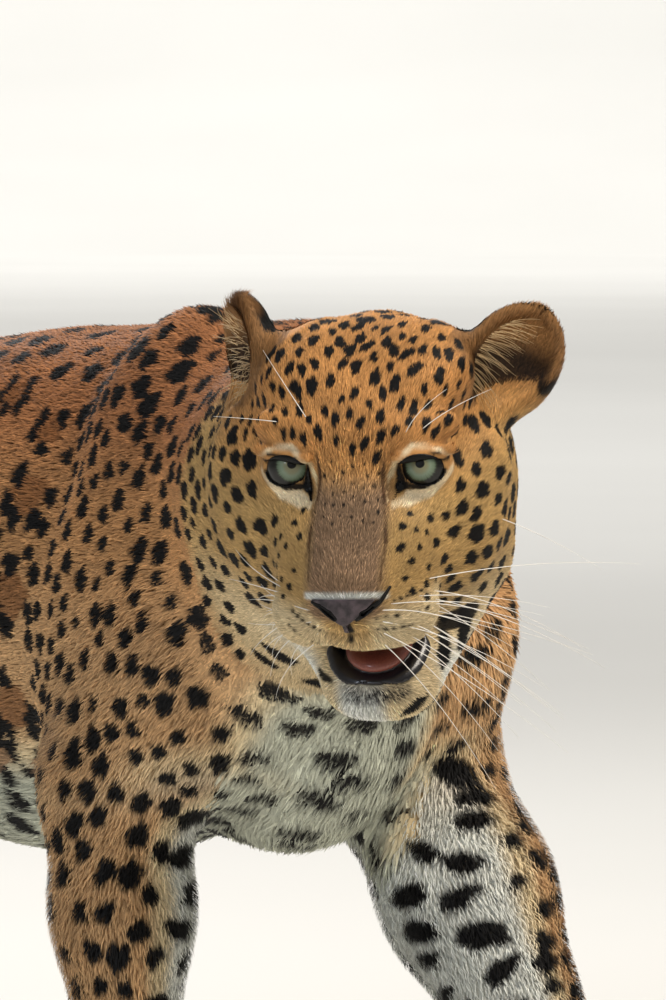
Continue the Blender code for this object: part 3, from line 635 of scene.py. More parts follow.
# Brush strokes of the face: side (0 for both), start and end in mm in the head's frame,
# radius at each, colour, softness
STROKES = (
    (0, (29, -83, 25), (37, -75, 24), 2.6, 4.2, "lid", 2.0),
    (0, (37, -75, 24), (49, -71, 26), 4.2, 4.4, "lid", 2.0),
    (0, (49, -71, 26), (62, -56, 36), 4.4, 3.0, "lid", 2.0),
    (0, (64, -58, 48), (54, -66, 57), 1.0, 1.6, "lid", 2.4),
    (0, (54, -66, 57), (40, -68, 58.5), 1.6, 1.7, "lid", 2.4),
    (0, (40, -68, 58.5), (30, -73, 50), 1.7, 2.0, "lid", 2.4),
    (0, (30, -73, 51), (25.5, -73, 40), 2.0, 1.8, "cream", 2.0),
    (0, (25.5, -73, 40), (24.5, -84, 28), 1.8, 0.8, "cream", 2.0),
    (0, (23, -74, 56), (21, -76, 42), 1.0, 1.4, "line", 1.8),
    (0, (21, -76, 42), (23, -90, 24), 1.4, 1.4, "line", 1.6),
    (0, (23, -90, 24), (26, -112, 10), 1.4, 1.3, "line", 1.6),
    (0, (26, -112, 10), (25, -133, -6), 1.3, 1.6, "line", 1.6),
    (0, (31, -71, 46), (31, -72, 31), 1.6, 4.0, "black", 1.0),
    (0, (31, -72, 31), (27.6, -84, 26), 4.0, 0.8, "black", 1.0),
    (0, (33, -71, 31), (46, -72, 30.5), 3.0, 2.2, "black", 1.0),
    (0, (46, -72, 30.5), (60, -62, 38), 2.2, 1.6, "black", 1.0),
    (0, (56, -64, 46), (67, -50, 45), 1.8, 1.4, "black", 0.9),
    (0, (31, -71, 45), (38, -72, 53), 1.3, 1.2, "black", 0.8),
    (0, (38, -72, 53), (57, -64, 52), 1.2, 1.3, "black", 0.8),
    (1, (2, -148, -32), (2, -142, -40), 2.2, 3.4, "black", 1.4),
    (1, (2, -142, -40), (0.6, -135, -50), 3.4, 2.4, "black", 2.4),
    (1, (50, -78, -70), (64, -53, -74), 5.5, 7.5, "black", 1.5),
    (1, (-31, -98, -95), (-22, -110, -93), 3.5, 2.5, "black", 2.0),
    (1, (-6, -122, -99), (28, -120, -98), 6.5, 6.5, "smoke", 9.0),
    (1, (114, 44, 45), (112, 45, 57), 8.0, 5.0, "black", 2.0),
)
# Rows of dark dots that the whiskers grow from: start, end and radius of the dots
PAD_ROWS = (
    ((32, -130, -23), (51, -110, -24), 1.1), ((21, -141, -31.5), (51.5, -120, -34), 1.2),
    ((14, -138, -42), (42, -133, -40), 0.9),
    ((-37, -132, -30), (-19, -137, -42), 1.2), ((-40, -134, -39), (-22, -131, -55), 0.9),
)


def beside(here, start, end):
    """Distance from a line on the face, with less weight on depth, and the share of its length there."""
    a, b = np.array(start), np.array(end)
    share = np.clip((here - a) @ (b - a) / ((b - a) @ (b - a)), 0, 1)
    return np.linalg.norm((here - a - share[:, None] * (b - a)) * (1, 0.35, 1), axis=1), share


def paint(points, tone):
    """Lays the strokes of the face over a colour."""
    local = in_head(points) * 1000
    near = np.flatnonzero(local[:, 1] < 60)
    here = local[near]
    for both, start, end, first, last, name, soft in STROKES:
        for s in (1,) if both else SIDES:
            far, share = beside(here, np.array(start) * (s, 1, 1), np.array(end) * (s, 1, 1))
            far = far - first - (last - first) * share
            grain = 0.62 + 0.36 * np.sign(ripple(points[near], 0.002, 6)) if name == "smoke" else 0.98
            tone[near] = mix(tone[near], COLOURS[name], smooth(soft / 2, -soft / 2, far) * grain)
    for start, end, radius in PAD_ROWS:
        far, share = beside(here, start, end)
        tone[near] = mix(tone[near], COLOURS["black"],
                         smooth(0.5, -0.5, far - radius * (0.7 + 0.5 * np.cos(share * 10 * pi))))
    rim = nose_top(local / 1000)
    edge = smooth(-0.001, 0.0004, rim) * smooth(0.0058, 0.0036, rim)
    rim = edge * smooth(-0.122, -0.130, local[:, 1] / 1000)
    return mix(tone, COLOURS["white"], rim * smooth(0.030, 0.026, np.abs(local[:, 0]) / 1000))


def marking_rules(points, normals, limb):
    """Spacing, radius, stretch along the lie of the coat and kind of the markings around each point."""
    local = in_head(points)
    x, y, z = points.T
    lx, ly, lz = local.T
    side = np.abs(x)
    count = len(points)
    spacing = np.full(count, 0.030)
    size = np.full(count, 0.0088)
    stretch = np.full(count, 1.2)
    ring = np.zeros(count, bool)

    def rule(where, gap, radius, length, rings=False):
        spacing[where] = gap
        size[where] = radius
        stretch[where] = length
        ring[where] = rings

    head = limb == 0
    rule(head, 0.0130, 0.0052, 1.3)
    rule(head & (lz > 0.045) & (ly < 0.06), 0.0100, 0.0037, 2.0)
    rule(head & (lz > 0.085) & (ly < 0.06), 0.0118, 0.0046, 2.1)
    rule(head & (ly > 0.03), 0.0140, 0.0060, 1.2)
    rule(head & (ly < -0.05) & (lz < 0.03), 0.0102, 0.0034, 1.3)
    rule(head & (np.abs(lx) > 0.060) & (lz < 0.045) & (ly < 0.03), 0.0150, 0.0060, 1.4)
    rule(head & (ly < -0.088) & (np.abs(lx) > 0.030), 0.0092, 0.0026, 1.3)
    bare = head & (np.abs(lx) < 0.028) & (ly < -0.050) & (lz > -0.060) & (lz < 0.045)
    eye = np.zeros(count, bool)
    for s in SIDES:
        eye |= np.linalg.norm(local - (s * EYE[0], EYE[1] - 0.01, EYE[2]), axis=1) < 0.027
        eye |= np.linalg.norm(local - np.array(EAR[s]) - (0, 0, 0.008), axis=1) < 0.046
    rule(bare | (head & (((ly < -0.088) & ((ly < -0.120) | (np.abs(lx) < 0.030) | (lz < -0.030))) | eye
                         | ((lz < -0.07) & (ly < -0.015)))), 0.01, 0.0, 1)
    speck = head & (np.abs(lx) < 0.020) & (ly < -0.050) & (lz > 0.020) & (lz < 0.052)
    rule(speck, 0.0070, 0.0012, 1.4)
    rule(limb == 1, 0.0172, 0.0070, 0.80)
    trunk = limb == 2
    rule(trunk, 0.047, 0.0172, 1.25, True)
    rule(trunk & (y < -0.17), 0.0190, 0.0079, 1.15)
    rule(trunk & (z > 0.60) & (side < 0.07), 0.026, 0.0100, 1.5)
    rule(trunk & (y < -0.17) & (z > 0.62), 0.0220, 0.0104, 1.25)
    rule(trunk & (z < 0.37), 0.031, 0.0120, 1.0)
    throat = (limb <= 2) & (y < -0.30) & (z < 0.50) & (side < 0.12) & (normals[:, 2] < 0.2)
    rule(throat, 0.0270, 0.0100, 0.50)
    for number in (3, 4):
        s = -1 if number == 3 else 1
        leg = limb == number
        rule(leg, 0.0190, 0.0082, 1.30 if s < 0 else 0.70)
        rule(leg & (normals[:, 0] * s < -0.1), 0.027, 0.0112, 0.50)
        rule(leg & (z < 0.12), 0.016, 0.0050, 1.0)
    for number in (5, 6):
        leg = limb == number
        rule(leg, 0.045, 0.0165, 1.2, True)
        rule(leg & (z < 0.42), 0.0235, 0.0086, 1.3)
        rule(leg & (z < 0.12), 0.016, 0.0048, 1.0)
    rule(limb == 7, 0.030, 0.0105, 0.70)
    return spacing, size, stretch, ring


class Markings:
    """Every spot of the coat as flat ellipses on the skin, laid by one seeded scatter."""

    def __init__(self, points, normals, limb, lie):
        draw = np.random.default_rng(21)
        spacing, size, stretch, ring = marking_rules(points, normals, limb)
        along = unit(lie - (lie * normals).sum(1, keepdims=True) * normals)
        across = np.cross(normals, along)
        tree = KDTree(len(points))
        for i, point in enumerate(points):
            tree.insert(point, i)
        tree.balance()
        self.spots = []
        cells = {}

        def taken(i, reach):
            cells.setdefault(tuple((points[i] // 0.045).astype(int)), []).append((i, reach))

        for i in draw.permutation(len(points)):
            key = points[i] // 0.045
            near = [found for step in np.ndindex(3, 3, 3)
                    for found in cells.get(tuple((key + step - 1).astype(int)), ())]
            if near:
                others = [j for j, _ in near]
                reach = (spacing[i] + np.array([r for _, r in near])) / 2
                away = points[others] - points[i]
                stretched = np.sqrt((away**2).sum(1) + ((away @ along[i]) ** 2) * (1 / stretch[i] - 1)
                                    + ((away @ across[i]) ** 2) * (stretch[i] - 1))
                if (stretched < reach).any():
                    continue
            taken(i, spacing[i])
            if size[i] > 0:
                self.add_spot(draw, points[i], along[i], across[i], size[i], stretch[i], ring[i])

    def add_spot(self, draw, point, along, across, size, stretch, ring):
        size = size * draw.uniform(0.78, 1.25)
        if ring:
            self.spots.append((point, along, across, size * 1.05, size * 0.85, 1))
            blobs = draw.integers(5, 8)
            start = draw.uniform(0, 2 * pi)
            for k in range(blobs):
                if draw.random() < 0.12:
                    continue
                turn = start + (k + draw.uniform(-0.22, 0.22)) * 2 * pi / blobs
                out = along * cos(turn) * stretch + across * sin(turn)
                around = -along * sin(turn) * stretch + across * cos(turn)
                reach = draw.uniform(0.88, 1.1) * size
                long = size * draw.uniform(0.50, 0.72) * 5 / blobs
                self.spots.append((point + out * reach, unit(around), unit(out), long,
                                   size * draw.uniform(0.38, 0.52), 0))
            return
        lean = draw.normal() * 0.22
        first = along * cos(lean) + across * sin(lean)
        second = across * cos(lean) - along * sin(lean)
        self.spots.append((point, first, second, size * stretch**0.5, size / stretch**0.5, 0))
        for _ in range(draw.integers(0, 3)):
            turn = draw.uniform(0, 2 * pi)
            shift = (first * cos(turn) * stretch**0.5 + second * sin(turn) / stretch**0.5) * size * 0.6
            part = size * draw.uniform(0.45, 0.65)
            self.spots.append((point + shift, first, second, part * stretch**0.5, part / stretch**0.5, 0))

    def read(self, points):
        """How dark each point is, and how far it lies in the brown middle of a ring."""
        size = 0.02
        cells = np.floor(points / size).astype(int)
        keys = (cells[:, 0] * 4096 + cells[:, 1]) * 4096 + cells[:, 2]
        order = keys.argsort(kind="stable")
        names, starts = np.unique(keys[order], return_index=True)
        groups = dict(zip(names.tolist(), np.split(order, starts[1:])))
        dark = np.zeros(len(points))
        inner = np.zeros(len(points))
        for centre, first, second, long, wide, kind in self.spots:
            reach = max(long, wide) * 1.25
            low = np.floor((centre - reach) / size).astype(int)
            high = np.floor((centre + reach) / size).astype(int)
            found = [groups.get(((i * 4096) + j) * 4096 + k) for i in range(low[0], high[0] + 1)
                     for j in range(low[1], high[1] + 1) for k in range(low[2], high[2] + 1)]
            found = [group for group in found if group is not None]
            if not found:
                continue
            found = np.concatenate(found)
            away = points[found] - centre
            depth = away @ np.cross(first, second)
            turn = np.arctan2(away @ second / wide, away @ first / long)
            edge = 1 + 0.10 * np.sin(3 * turn + centre[0] * 900) + 0.08 * np.sin(5 * turn + centre[1] * 700)
            far = np.sqrt((away @ first / long) ** 2
                          + (away @ second / wide) ** 2) / edge + np.abs(depth) * 12
            layer = inner if kind else dark
            layer[found] = np.maximum(layer[found], smooth(1.12, 0.88, far))
        return dark, inner


COLOURS = {name: linear(text) for name, text in {
    "black": "060505", "back": "a06a42", "flank": "ba8958", "side": "c69e70", "cream": "d8c49c",
    # white: pale fur, tinted slightly cool and green as painted bounced light
    "white": "d6d8d0",
    "ring": "7d4e2a", "bridge": "8a6f55", "forehead": "c08a50", "cheek": "b8965f", "ear": "8f673e",
    # cup: painted shade, near black, in the hollow of the ear
    "cup": "120a06",
    # chest: white made darker, greyer and a little green, as painted shade on the chest and belly
    "smoke": "1c1a1c", "chest": "b6b9a8", "lid": "e9d6b2", "line": "4a3220",
}.items()}


def ground_colour(points, normals, limb):
    """Colour of the coat between the markings."""
    local = in_head(points)
    x, y, z = points.T
    side = np.where(x < 0, -1, 1)
    out = normals[:, 0] * side
    height = (z - 0.50) / 0.19
    body = mix(COLOURS["side"], COLOURS["flank"], smooth(-0.3, 0.3, height))
    body = mix(body, COLOURS["back"], smooth(0.25, 0.85, height + 0.25 * normals[:, 2]))
    under = smooth(-0.55, -1.0, height + 0.35 * normals[:, 2])
    breast = smooth(-0.34, -0.41, y) * smooth(0.50, 0.42, z) * smooth(0.105, 0.045, np.abs(x + 0.03))
    body = mix(body, COLOURS["cream"], smooth(0.0, 0.5, np.maximum(under, breast)))
    # The belly and breast go to cream and then to the darker, greyer chest tone: real pale fur, with painted
    # shade under the body.
    body = mix(body, COLOURS["chest"], smooth(0.4, 1.0, np.maximum(under, breast)))
    leg = mix(COLOURS["side"], COLOURS["cream"], smooth(0.35, 0.05, out))
    leg = mix(leg, COLOURS["white"], smooth(0.05, -0.35, out))
    on_leg = ((limb >= 3) & (limb <= 6)) * smooth(0.42, 0.34, z)
    body = mix(body, leg, on_leg)
    body = mix(body, COLOURS["white"], (limb == 7) * smooth(0.1, -0.5, normals[:, 2]) * 0.8)
    # face
    lx, ly, lz = local.T
    ax = np.abs(lx)
    face = mix(COLOURS["cheek"], COLOURS["forehead"], smooth(0.01, 0.06, lz))
    face = mix(face, COLOURS["cream"], smooth(-0.03, -0.09, lz) * smooth(0.06, -0.04, ly))
    face = mix(face, COLOURS["white"], smooth(-0.078, -0.102, lz) * smooth(-0.02, -0.07, ly))
    pads = smooth(-0.080, -0.100, ly) * smooth(-0.020, -0.035, lz) * smooth(0.010, 0.022, ax)
    face = mix(face, COLOURS["cream"], pads)
    bridge = smooth(0.031, 0.020, ax) * smooth(-0.055, -0.085, ly)
    bridge = bridge * smooth(-0.035, -0.025, lz) * smooth(0.050, 0.030, lz)
    face = mix(face, COLOURS["bridge"], bridge)
    face = paint(points, face)
    for s in SIDES:
        ear = np.linalg.norm(local - np.array(EAR[s]) - (0, 0, 0.01), axis=1)
        facing = (normals @ HEAD_MATRIX) @ np.array((s * sin(radians(EAR_OUT[s])),
                                                     -cos(radians(EAR_OUT[s])), 0))
        on_ear = smooth(0.055, 0.045, ear) * (ax > 0.055) * (lz > 0.05)
        face = mix(face, COLOURS["ear"], on_ear)
        cup = ear_cup(points, s)
        low = lz - EAR[s][2] + s * 0.4 * (lx - EAR[s][0])
        # Painted shade: the hollow of the ear is darkened to near black, fully in its lower part.
        face = mix(face, COLOURS["cup"], on_ear * smooth(0.0035, 0.0, cup) * smooth(0.026, 0.004, low))
        face = mix(face, COLOURS["black"], on_ear * smooth(0.0, -0.3, facing) * smooth(0.112, 0.104, lz))
    on_head = smooth(0.02, -0.02, head_plane(points)) * (limb == 0)
    colour = mix(body, face, on_head)
    return colour * (1 + 0.10 * ripple(points, 0.05, 3) + 0.05 * ripple(points, 0.012, 4))[:, None]


def zone_distance(points, centre, radii, turn=(0, 0, 0)):
    """Distance to an ellipsoid of the head, near its surface."""
    return Ball(centre, radii, frame=HEAD, turn=turn).distance(points)


def slit_distance(points, s):
    """Distance to the opening of the lids, with its inner corner."""
    centre = (s * (EYE[0] + 0.0030), EYE[1] - 0.020, EYE[2] + 0.0055)
    opening = zone_distance(points, centre, (0.0176, 0.018, 0.0118), (0, s * 14, s * 16))
    corner = [(s * x, y, z) for x, y, z in EYE_CORNER]
    return np.minimum(opening, Rod(corner[0], corner[1], 0.0028, 0.0018, frame=HEAD).distance(points))


def ear_cup(points, s):
    """Distance to the hollow of an ear."""
    out = radians(EAR_OUT[s])
    centre = (EAR[s][0] + s * 0.021 * sin(out), EAR[s][1] - 0.021 * cos(out), EAR[s][2] + 0.006)
    return zone_distance(points, centre, (0.028, 0.025, 0.035), (0, s * EAR_LEAN[s], s * EAR_OUT[s]))


def mouth_distance(points):
    """Distance to the opening of the mouth."""
    return zone_distance(points, MOUTH, MOUTH_SIZE, (MOUTH_TURN, 0, 0))


def nose_top(local):
    """Height above the straight upper edge of the nose leather, in the head's frame."""
    return local[:, 2] + 0.0166 + 0.45 * (local[:, 1] + 0.140)


def nose_distance(points):
    """Below zero in the block of bare leather at the tip of the nose."""
    x, y, z = in_head(points).T
    top = nose_top(in_head(points))
    low = -0.0342 + 0.83 * np.abs(x) - z
    split = np.maximum(np.abs(x) - 0.0014, -0.041 - z)
    return np.maximum(np.maximum(np.abs(x) - 0.0262, y + 0.131),
                      np.minimum(np.maximum(top, low), np.maximum(split, top)))


def is_bare(points):
    """Where no tuft may grow: nose, nostrils, lips, lids and soles."""
    bare = (nose_distance(points) < 0.0003) | (nostril_distance(points) < 0.0008)
    bare |= (lips(points) < 0.0004) | (points[:, 2] < 0.004)
    for s in SIDES:
        bare |= (slit_distance(points, s) < 0.0012) | (eye_corner(points, s) < 0.0004)
    return bare


def coat_shape(points, limb):
    """Length and width of the tufts rooted at each point."""
    local = in_head(points)
    z = points[:, 2]
    length = np.choose(limb, [0.0062, 0.0105, 0.0112, 0.0088, 0.0088, 0.0105, 0.0105, 0.015])
    length = length + (limb == 0) * 0.006 * smooth(-0.02, 0.10, local[:, 1])
    length = length - (limb == 0) * 0.0022 * smooth(-0.06, -0.11, local[:, 1])
    length = length + (limb == 2) * 0.010 * smooth(0.42, 0.34, z)
    legs = (limb >= 3) & (limb <= 6)
    length = np.where(legs, length * (0.55 + 0.45 * smooth(0.03, 0.22, z)), length)
    for s in SIDES:
        lids = np.minimum(slit_distance(points, s), eye_corner(points, s))
        length = length * (0.35 + 0.65 * smooth(0.001, 0.010, lids))
    breast = smooth(-0.28, -0.36, points[:, 1]) * smooth(0.54, 0.44, z) * (limb > 0) * ~legs
    length = length + 0.008 * breast
    return length, length * 0.11


def corner_map(points, normals, limb):
    """Where each point lies on an unwrap of the skin: each limb seen from its six sides, one square each."""
    side = np.abs(normals).argmax(1)
    facing = side * 2 + (np.take_along_axis(normals, side[:, None], 1)[:, 0] > 0)
    across = np.where(side == 0, points[:, 1], points[:, 0])
    up = np.where(side == 2, points[:, 1], points[:, 2])
    cell = limb * 6 + facing
    spot = np.empty((len(points), 2))
    for c in np.unique(cell):
        here = cell == c
        for k, value in enumerate((across, up)):
            low, high = value[here].min(), value[here].max()
            place = (c % 7, c // 7)[k]
            spot[here, k] = (place + 0.04 + 0.88 * (value[here] - low) / max(high - low, 1e-6)) / 7
    return spot


def make_coat(name, faces, count, skin, seed):
    """One coat piece: tufts of three triangles scattered over some of the skin's faces."""
    draw = np.random.default_rng(seed)
    area = skin["area"][faces]
    edges = np.concatenate([[0], np.cumsum(area)])
    spots = (np.arange(count) + draw.random(count)) / count * edges[-1]
    pick = faces[np.clip(np.searchsorted(edges, spots) - 1, 0, len(faces) - 1)]
    a, b = draw.random(count), draw.random(count)
    fold = a + b > 1
    a[fold], b[fold] = 1 - a[fold], 1 - b[fold]
    share = np.stack([1 - a - b, a, b], 1)[:, :, None]
    corner = skin["triangles"][pick]
    root = (skin["points"][corner] * share).sum(1)
    up = unit((skin["normals"][corner] * share).sum(1))
    lie = (skin["lie"][corner] * share).sum(1)
    limb = skin["limb"][corner[:, 0]]
    keep = ~is_bare(root)
    root, up, lie, limb = root[keep], up[keep], lie[keep], limb[keep]
    count = len(root)
    length, width = coat_shape(root, limb)
    length = length * draw.uniform(0.75, 1.2, count)
    width = width * draw.uniform(0.8, 1.2, count)
    lie = unit(lie - (lie * up).sum(1, keepdims=True) * up)
    across = np.cross(up, lie)
    swing = draw.normal(0, 0.16, count) + 0.12 * ripple(root, 0.03, 9)
    lie = lie * np.cos(swing)[:, None] + across * np.sin(swing)[:, None]
    across = np.cross(up, lie)
    rise = (coat_depth(root) * draw.uniform(0.75, 1.1, count))[:, None]
    length, width = length[:, None], width[:, None]
    middle = root + lie * length * 0.5 + up * rise * 0.75
    tip = root + lie * length + up * rise * draw.uniform(0.45, 1.05, count)[:, None]
    spread = across * width / 2
    verts = np.stack([root - spread, root + spread, middle + spread * 0.85, middle - spread * 0.85, tip], 1)
    verts[:, :, 2] = np.maximum(verts[:, :, 2], 0.0006)
    local = in_head(root)
    grizzled = (limb == 0) * smooth(0.030, 0.020, np.abs(local[:, 0])) * smooth(-0.05, -0.08, local[:, 1])
    shade = np.exp(draw.normal(0, 0.17 + 0.20 * grizzled))[:, None]
    blur = draw.normal(0, 0.05, count)
    tones = []
    # Each tuft is painted darker at its root (x0.72) and lighter at its tip (x1.12): painted shade deep in
    # the coat and painted light on the tips.
    for seen, level in ((root + up * rise * 0.3, 0.72), (middle, 1.0), (tip, 1.12)):
        dark, inner = MARKINGS.read(seen)
        tone = mix(ground_colour(seen, up, limb), COLOURS["ring"], inner * 0.75)
        dark = smooth(0.30, 0.70, dark + blur)
        tones.append(mix(tone * shade, COLOURS["black"] * (0.7 + 0.6 * shade), dark) * level)
    colours = np.stack([tones[i] for i in (0, 0, 1, 1, 2)], 1)
    flat = np.array((0, 1, 2, 3, 3, 2, 4))
    index = (np.arange(count)[:, None] * 5 + flat).ravel()
    data = bpy.data.meshes.new(name)
    data.vertices.add(count * 5)
    data.vertices.foreach_set("co", (verts - np.array(CENTRE)).astype(np.float32).ravel())
    data.loops.add(count * 7)
    data.loops.foreach_set("vertex_index", index.astype(np.int32))
    data.polygons.add(count * 2)
    starts = (np.arange(count)[:, None] * 7 + np.array((0, 4))).ravel()
    data.polygons.foreach_set("loop_start", starts.astype(np.int32))
    data.update(calc_edges=True)
    data.shade_smooth()
    made = bpy.data.objects.new(name, data)
    bpy.context.scene.collection.objects.link(made)
    colour_points(made, "coat_colour", np.clip(colours, 0, 1).reshape(-1, 3))
    layer = data.uv_layers.new(name="OFBake")
    patch = np.array(((0, 0), (1, 0), (1, 0.5), (0, 0.5), (0.5, 1)))[flat] * 0.003
    place = corner_map(root, up, limb)[:, None, :] + patch[None] - 0.0015
    layer.data.foreach_set("uv", place.astype(np.float32).ravel())
    return made


def field_piece(name, function, middle, reach, step):
    """A closed piece from a field of its own, meshed in a cube round a point of the head."""
    centre = np.array(HEAD_AT + HEAD_TURN @ Vector(middle))
    verts, quads = surface(function, centre - reach, centre + reach, step)
    return mesh_object(name, verts, quads)


def lips(points):
    """Black edge of the mouth, broader on the lower lip."""
    x, _, z = in_head(points).T
    lower = smooth(-0.070, -0.082, z) * (0.0018 + 0.0030 * smooth(0.006, 0.022, np.abs(x - MOUTH[0])))
    return np.maximum(field(points) - 0.0006, mouth_distance(points) - 0.0028 - lower)


def eye_corner(points, s):
    """Distance to the black wedge that runs from the inner side of an eye down beside the nose."""
    wedge = ((0.0303, -0.0702, 0.0440), (0.0306, -0.0705, 0.0360), (0.0310, -0.0720, 0.0305),
             (0.0276, -0.0820, 0.0265))
    radii = (0.0008, 0.0016, 0.0029, 0.0007)
    rods = []
    for a, b, first, last in zip(wedge, wedge[1:], radii, radii[1:]):
        rods.append(Rod((s * a[0], a[1], a[2]), (s * b[0], b[1], b[2]), first, last,
                        frame=HEAD).distance(points))
    return np.min(rods, 0)


def lid_rim(s):
    """Bare black edge of the lids: thin above the eye, broader below it, with a wedge at its inner corner."""
    def edge(points):
        below = smooth(0.044, 0.036, in_head(points)[:, 2])
        rim = np.maximum(field(points) - 0.0003, slit_distance(points, s) + 0.0008 - 0.0016 * below)
        return np.minimum(rim, np.maximum(field(points) - 0.0005, eye_corner(points, s)))
    return edge


def nostril_distance(points):
    """Distance to the curved openings of the nostrils."""
    rods = []
    for line, radii in NOSTRILS:
        for a, b, first, last in zip(line, line[1:], radii, radii[1:]):
            rods.append(Rod(a, b, first, last, frame=HEAD).distance(points))
    return np.min(rods, 0)


def nostril_shade_lining(points):
    """Black sheet inside the nostrils: painted shade of the openings."""
    return np.maximum(field(points) - 0.0010, nostril_distance(points) - 0.0004)


def nose_leather(points):
    """The bare pad of the nose."""
    return np.maximum(field(points) - 0.0007, nose_distance(points))


def tongue(points):
    """The tongue's own form, arched in the mouth."""
    middle = (MOUTH[0], MOUTH[1] + 0.017, MOUTH[2] - TONGUE_DROP)
    return zone_distance(points, middle, (0.0222, 0.0312, 0.0087), (MOUTH_TURN, 0, 0))


def eyeball(name, s):
    """A fine ball whose UV map gives the angle away from the gaze, sideways and up, for the iris."""
    ball = bmesh.new()
    bmesh.ops.create_uvsphere(ball, u_segments=64, v_segments=48, radius=EYE_RADIUS)
    gaze = HEAD_TURN @ Vector(GAZE[s]).normalized()
    across = (HEAD_TURN @ Vector((0, 0, 1))).cross(gaze).normalized()
    turn = Matrix((across, gaze.cross(across), gaze)).transposed()
    layer = ball.loops.layers.uv.new("gaze")
    for face in ball.faces:
        face.smooth = True
        for loop in face.loops:
            co = loop.vert.co
            angle = np.arccos(np.clip(co.z / EYE_RADIUS, -1, 1))
            flat = Vector((co.x, co.y))
            loop[layer].uv = flat.normalized() * angle if flat.length > 1e-7 else (0, 0)
    for vert in ball.verts:
        bulge = 1 + 0.045 * max(0, vert.co.z / EYE_RADIUS - 0.70) / 0.30
        socket = HEAD_AT + HEAD_TURN @ Vector((s * EYE[0], EYE[1], EYE[2])) - CENTRE
        vert.co = socket + turn @ (vert.co * bulge)
    data = bpy.data.meshes.new(name)
    ball.to_mesh(data)
    ball.free()
    made = bpy.data.objects.new(name, data)
    bpy.context.scene.collection.objects.link(made)
    return made


GAZE = {-1: (0.22, -0.90, 0.48), 1: (0.05, -0.90, 0.47)}


def add(tree, kind, values=None, links=None, **settings):
    """Adds a node with its settings, input values and links."""
    node = tree.nodes.new(kind)
    for key, value in settings.items():
        setattr(node, key, value)
    for key, value in (values or {}).items():
        node.inputs[key].default_value = value
    for key, output in (links or {}).items():
        tree.links.new(output, node.inputs[key])
    return node


def colour(text):
    """A linear colour with full opacity from an sRGB hex text."""
    return (*linear(text), 1.0)


def surface_of(name, **values):
    """A new material and its shader, with the values set on the shader's sockets."""
    made = bpy.data.materials.new(name)
    made.use_nodes = True
    tree = made.node_tree
    shader = tree.nodes["Principled BSDF"]
    for key, value in values.items():
        shader.inputs[key.replace("_", " ")].default_value = value
    return made, tree, shader


def bump(tree, shader, height, strength, distance):
    """Lays a height on the shader's normal."""
    made = add(tree, "ShaderNodeBump", {"Strength": strength, "Distance": distance}, {"Height": height})
    tree.links.new(made.outputs[0], shader.inputs["Normal"])


def fur_material(name, rough, sheen):
    """Short glossy guard hair: the colour runs along each tuft and the bump is a fine streak of hairs."""
    made, tree, shader = surface_of(name, Roughness=rough, Sheen_Weight=sheen, Sheen_Roughness=0.45,
                                    Specular_IOR_Level=0.22)
    shade = add(tree, "ShaderNodeVertexColor", layer_name="coat_colour")
    place = add(tree, "ShaderNodeTexCoord")
    grain = add(tree, "ShaderNodeTexNoise", {"Scale": 1400.0, "Detail": 2.0},
                {"Vector": place.outputs["Object"]})
    level = add(tree, "ShaderNodeMapRange", {"To Min": 0.82, "To Max": 1.18}, {"Value": grain.outputs[0]})
    scaled = add(tree, "ShaderNodeVectorMath", None, {0: shade.outputs[0], "Scale": level.outputs[0]},
                 operation="SCALE")
    tree.links.new(scaled.outputs[0], shader.inputs["Base Color"])
    bump(tree, shader, grain.outputs[0], 0.3, 0.0004)
    return made


def leather_material():
    """Bare nose leather: mauve-brown, finely pebbled in cells about 0.8 mm across, slightly moist."""
    made, tree, shader = surface_of("nose leather, pebbled and slightly moist", Roughness=0.42, IOR=1.42)
    place = add(tree, "ShaderNodeTexCoord")
    cells = add(tree, "ShaderNodeTexVoronoi", {"Scale": 1200.0}, {"Vector": place.outputs["Object"]},
                feature="SMOOTH_F1")
    cloud = add(tree, "ShaderNodeTexNoise", {"Scale": 160.0, "Detail": 3.0},
                {"Vector": place.outputs["Object"]})
    ramp = add(tree, "ShaderNodeValToRGB", None, {"Fac": cloud.outputs[0]})
    ramp.color_ramp.elements[0].color = colour("262024")
    ramp.color_ramp.elements[1].color = colour("4e4247")
    ramp.color_ramp.elements[0].position = 0.35
    ramp.color_ramp.elements[1].position = 0.65
    tree.links.new(ramp.outputs[0], shader.inputs["Base Color"])
    bump(tree, shader, cells.outputs[0], 0.6, 0.0003)
    return made


def wet_material(name, dark, light, rough, scale, depth, film=0.35):
    """Moist skin of the mouth and lids: soft blotches of two colours under a wet film."""
    made, tree, shader = surface_of(name, Roughness=rough, Coat_Weight=film, Coat_Roughness=0.15,
                                    Specular_IOR_Level=film)
    place = add(tree, "ShaderNodeTexCoord")
    cloud = add(tree, "ShaderNodeTexNoise", {"Scale": scale, "Detail": 4.0},
                {"Vector": place.outputs["Object"]})
    ramp = add(tree, "ShaderNodeValToRGB", None, {"Fac": cloud.outputs[0]})
    ramp.color_ramp.elements[0].color = colour(dark)
    ramp.color_ramp.elements[1].color = colour(light)
    tree.links.new(ramp.outputs[0], shader.inputs["Base Color"])
    bump(tree, shader, cloud.outputs[0], 0.5, depth)
    return made


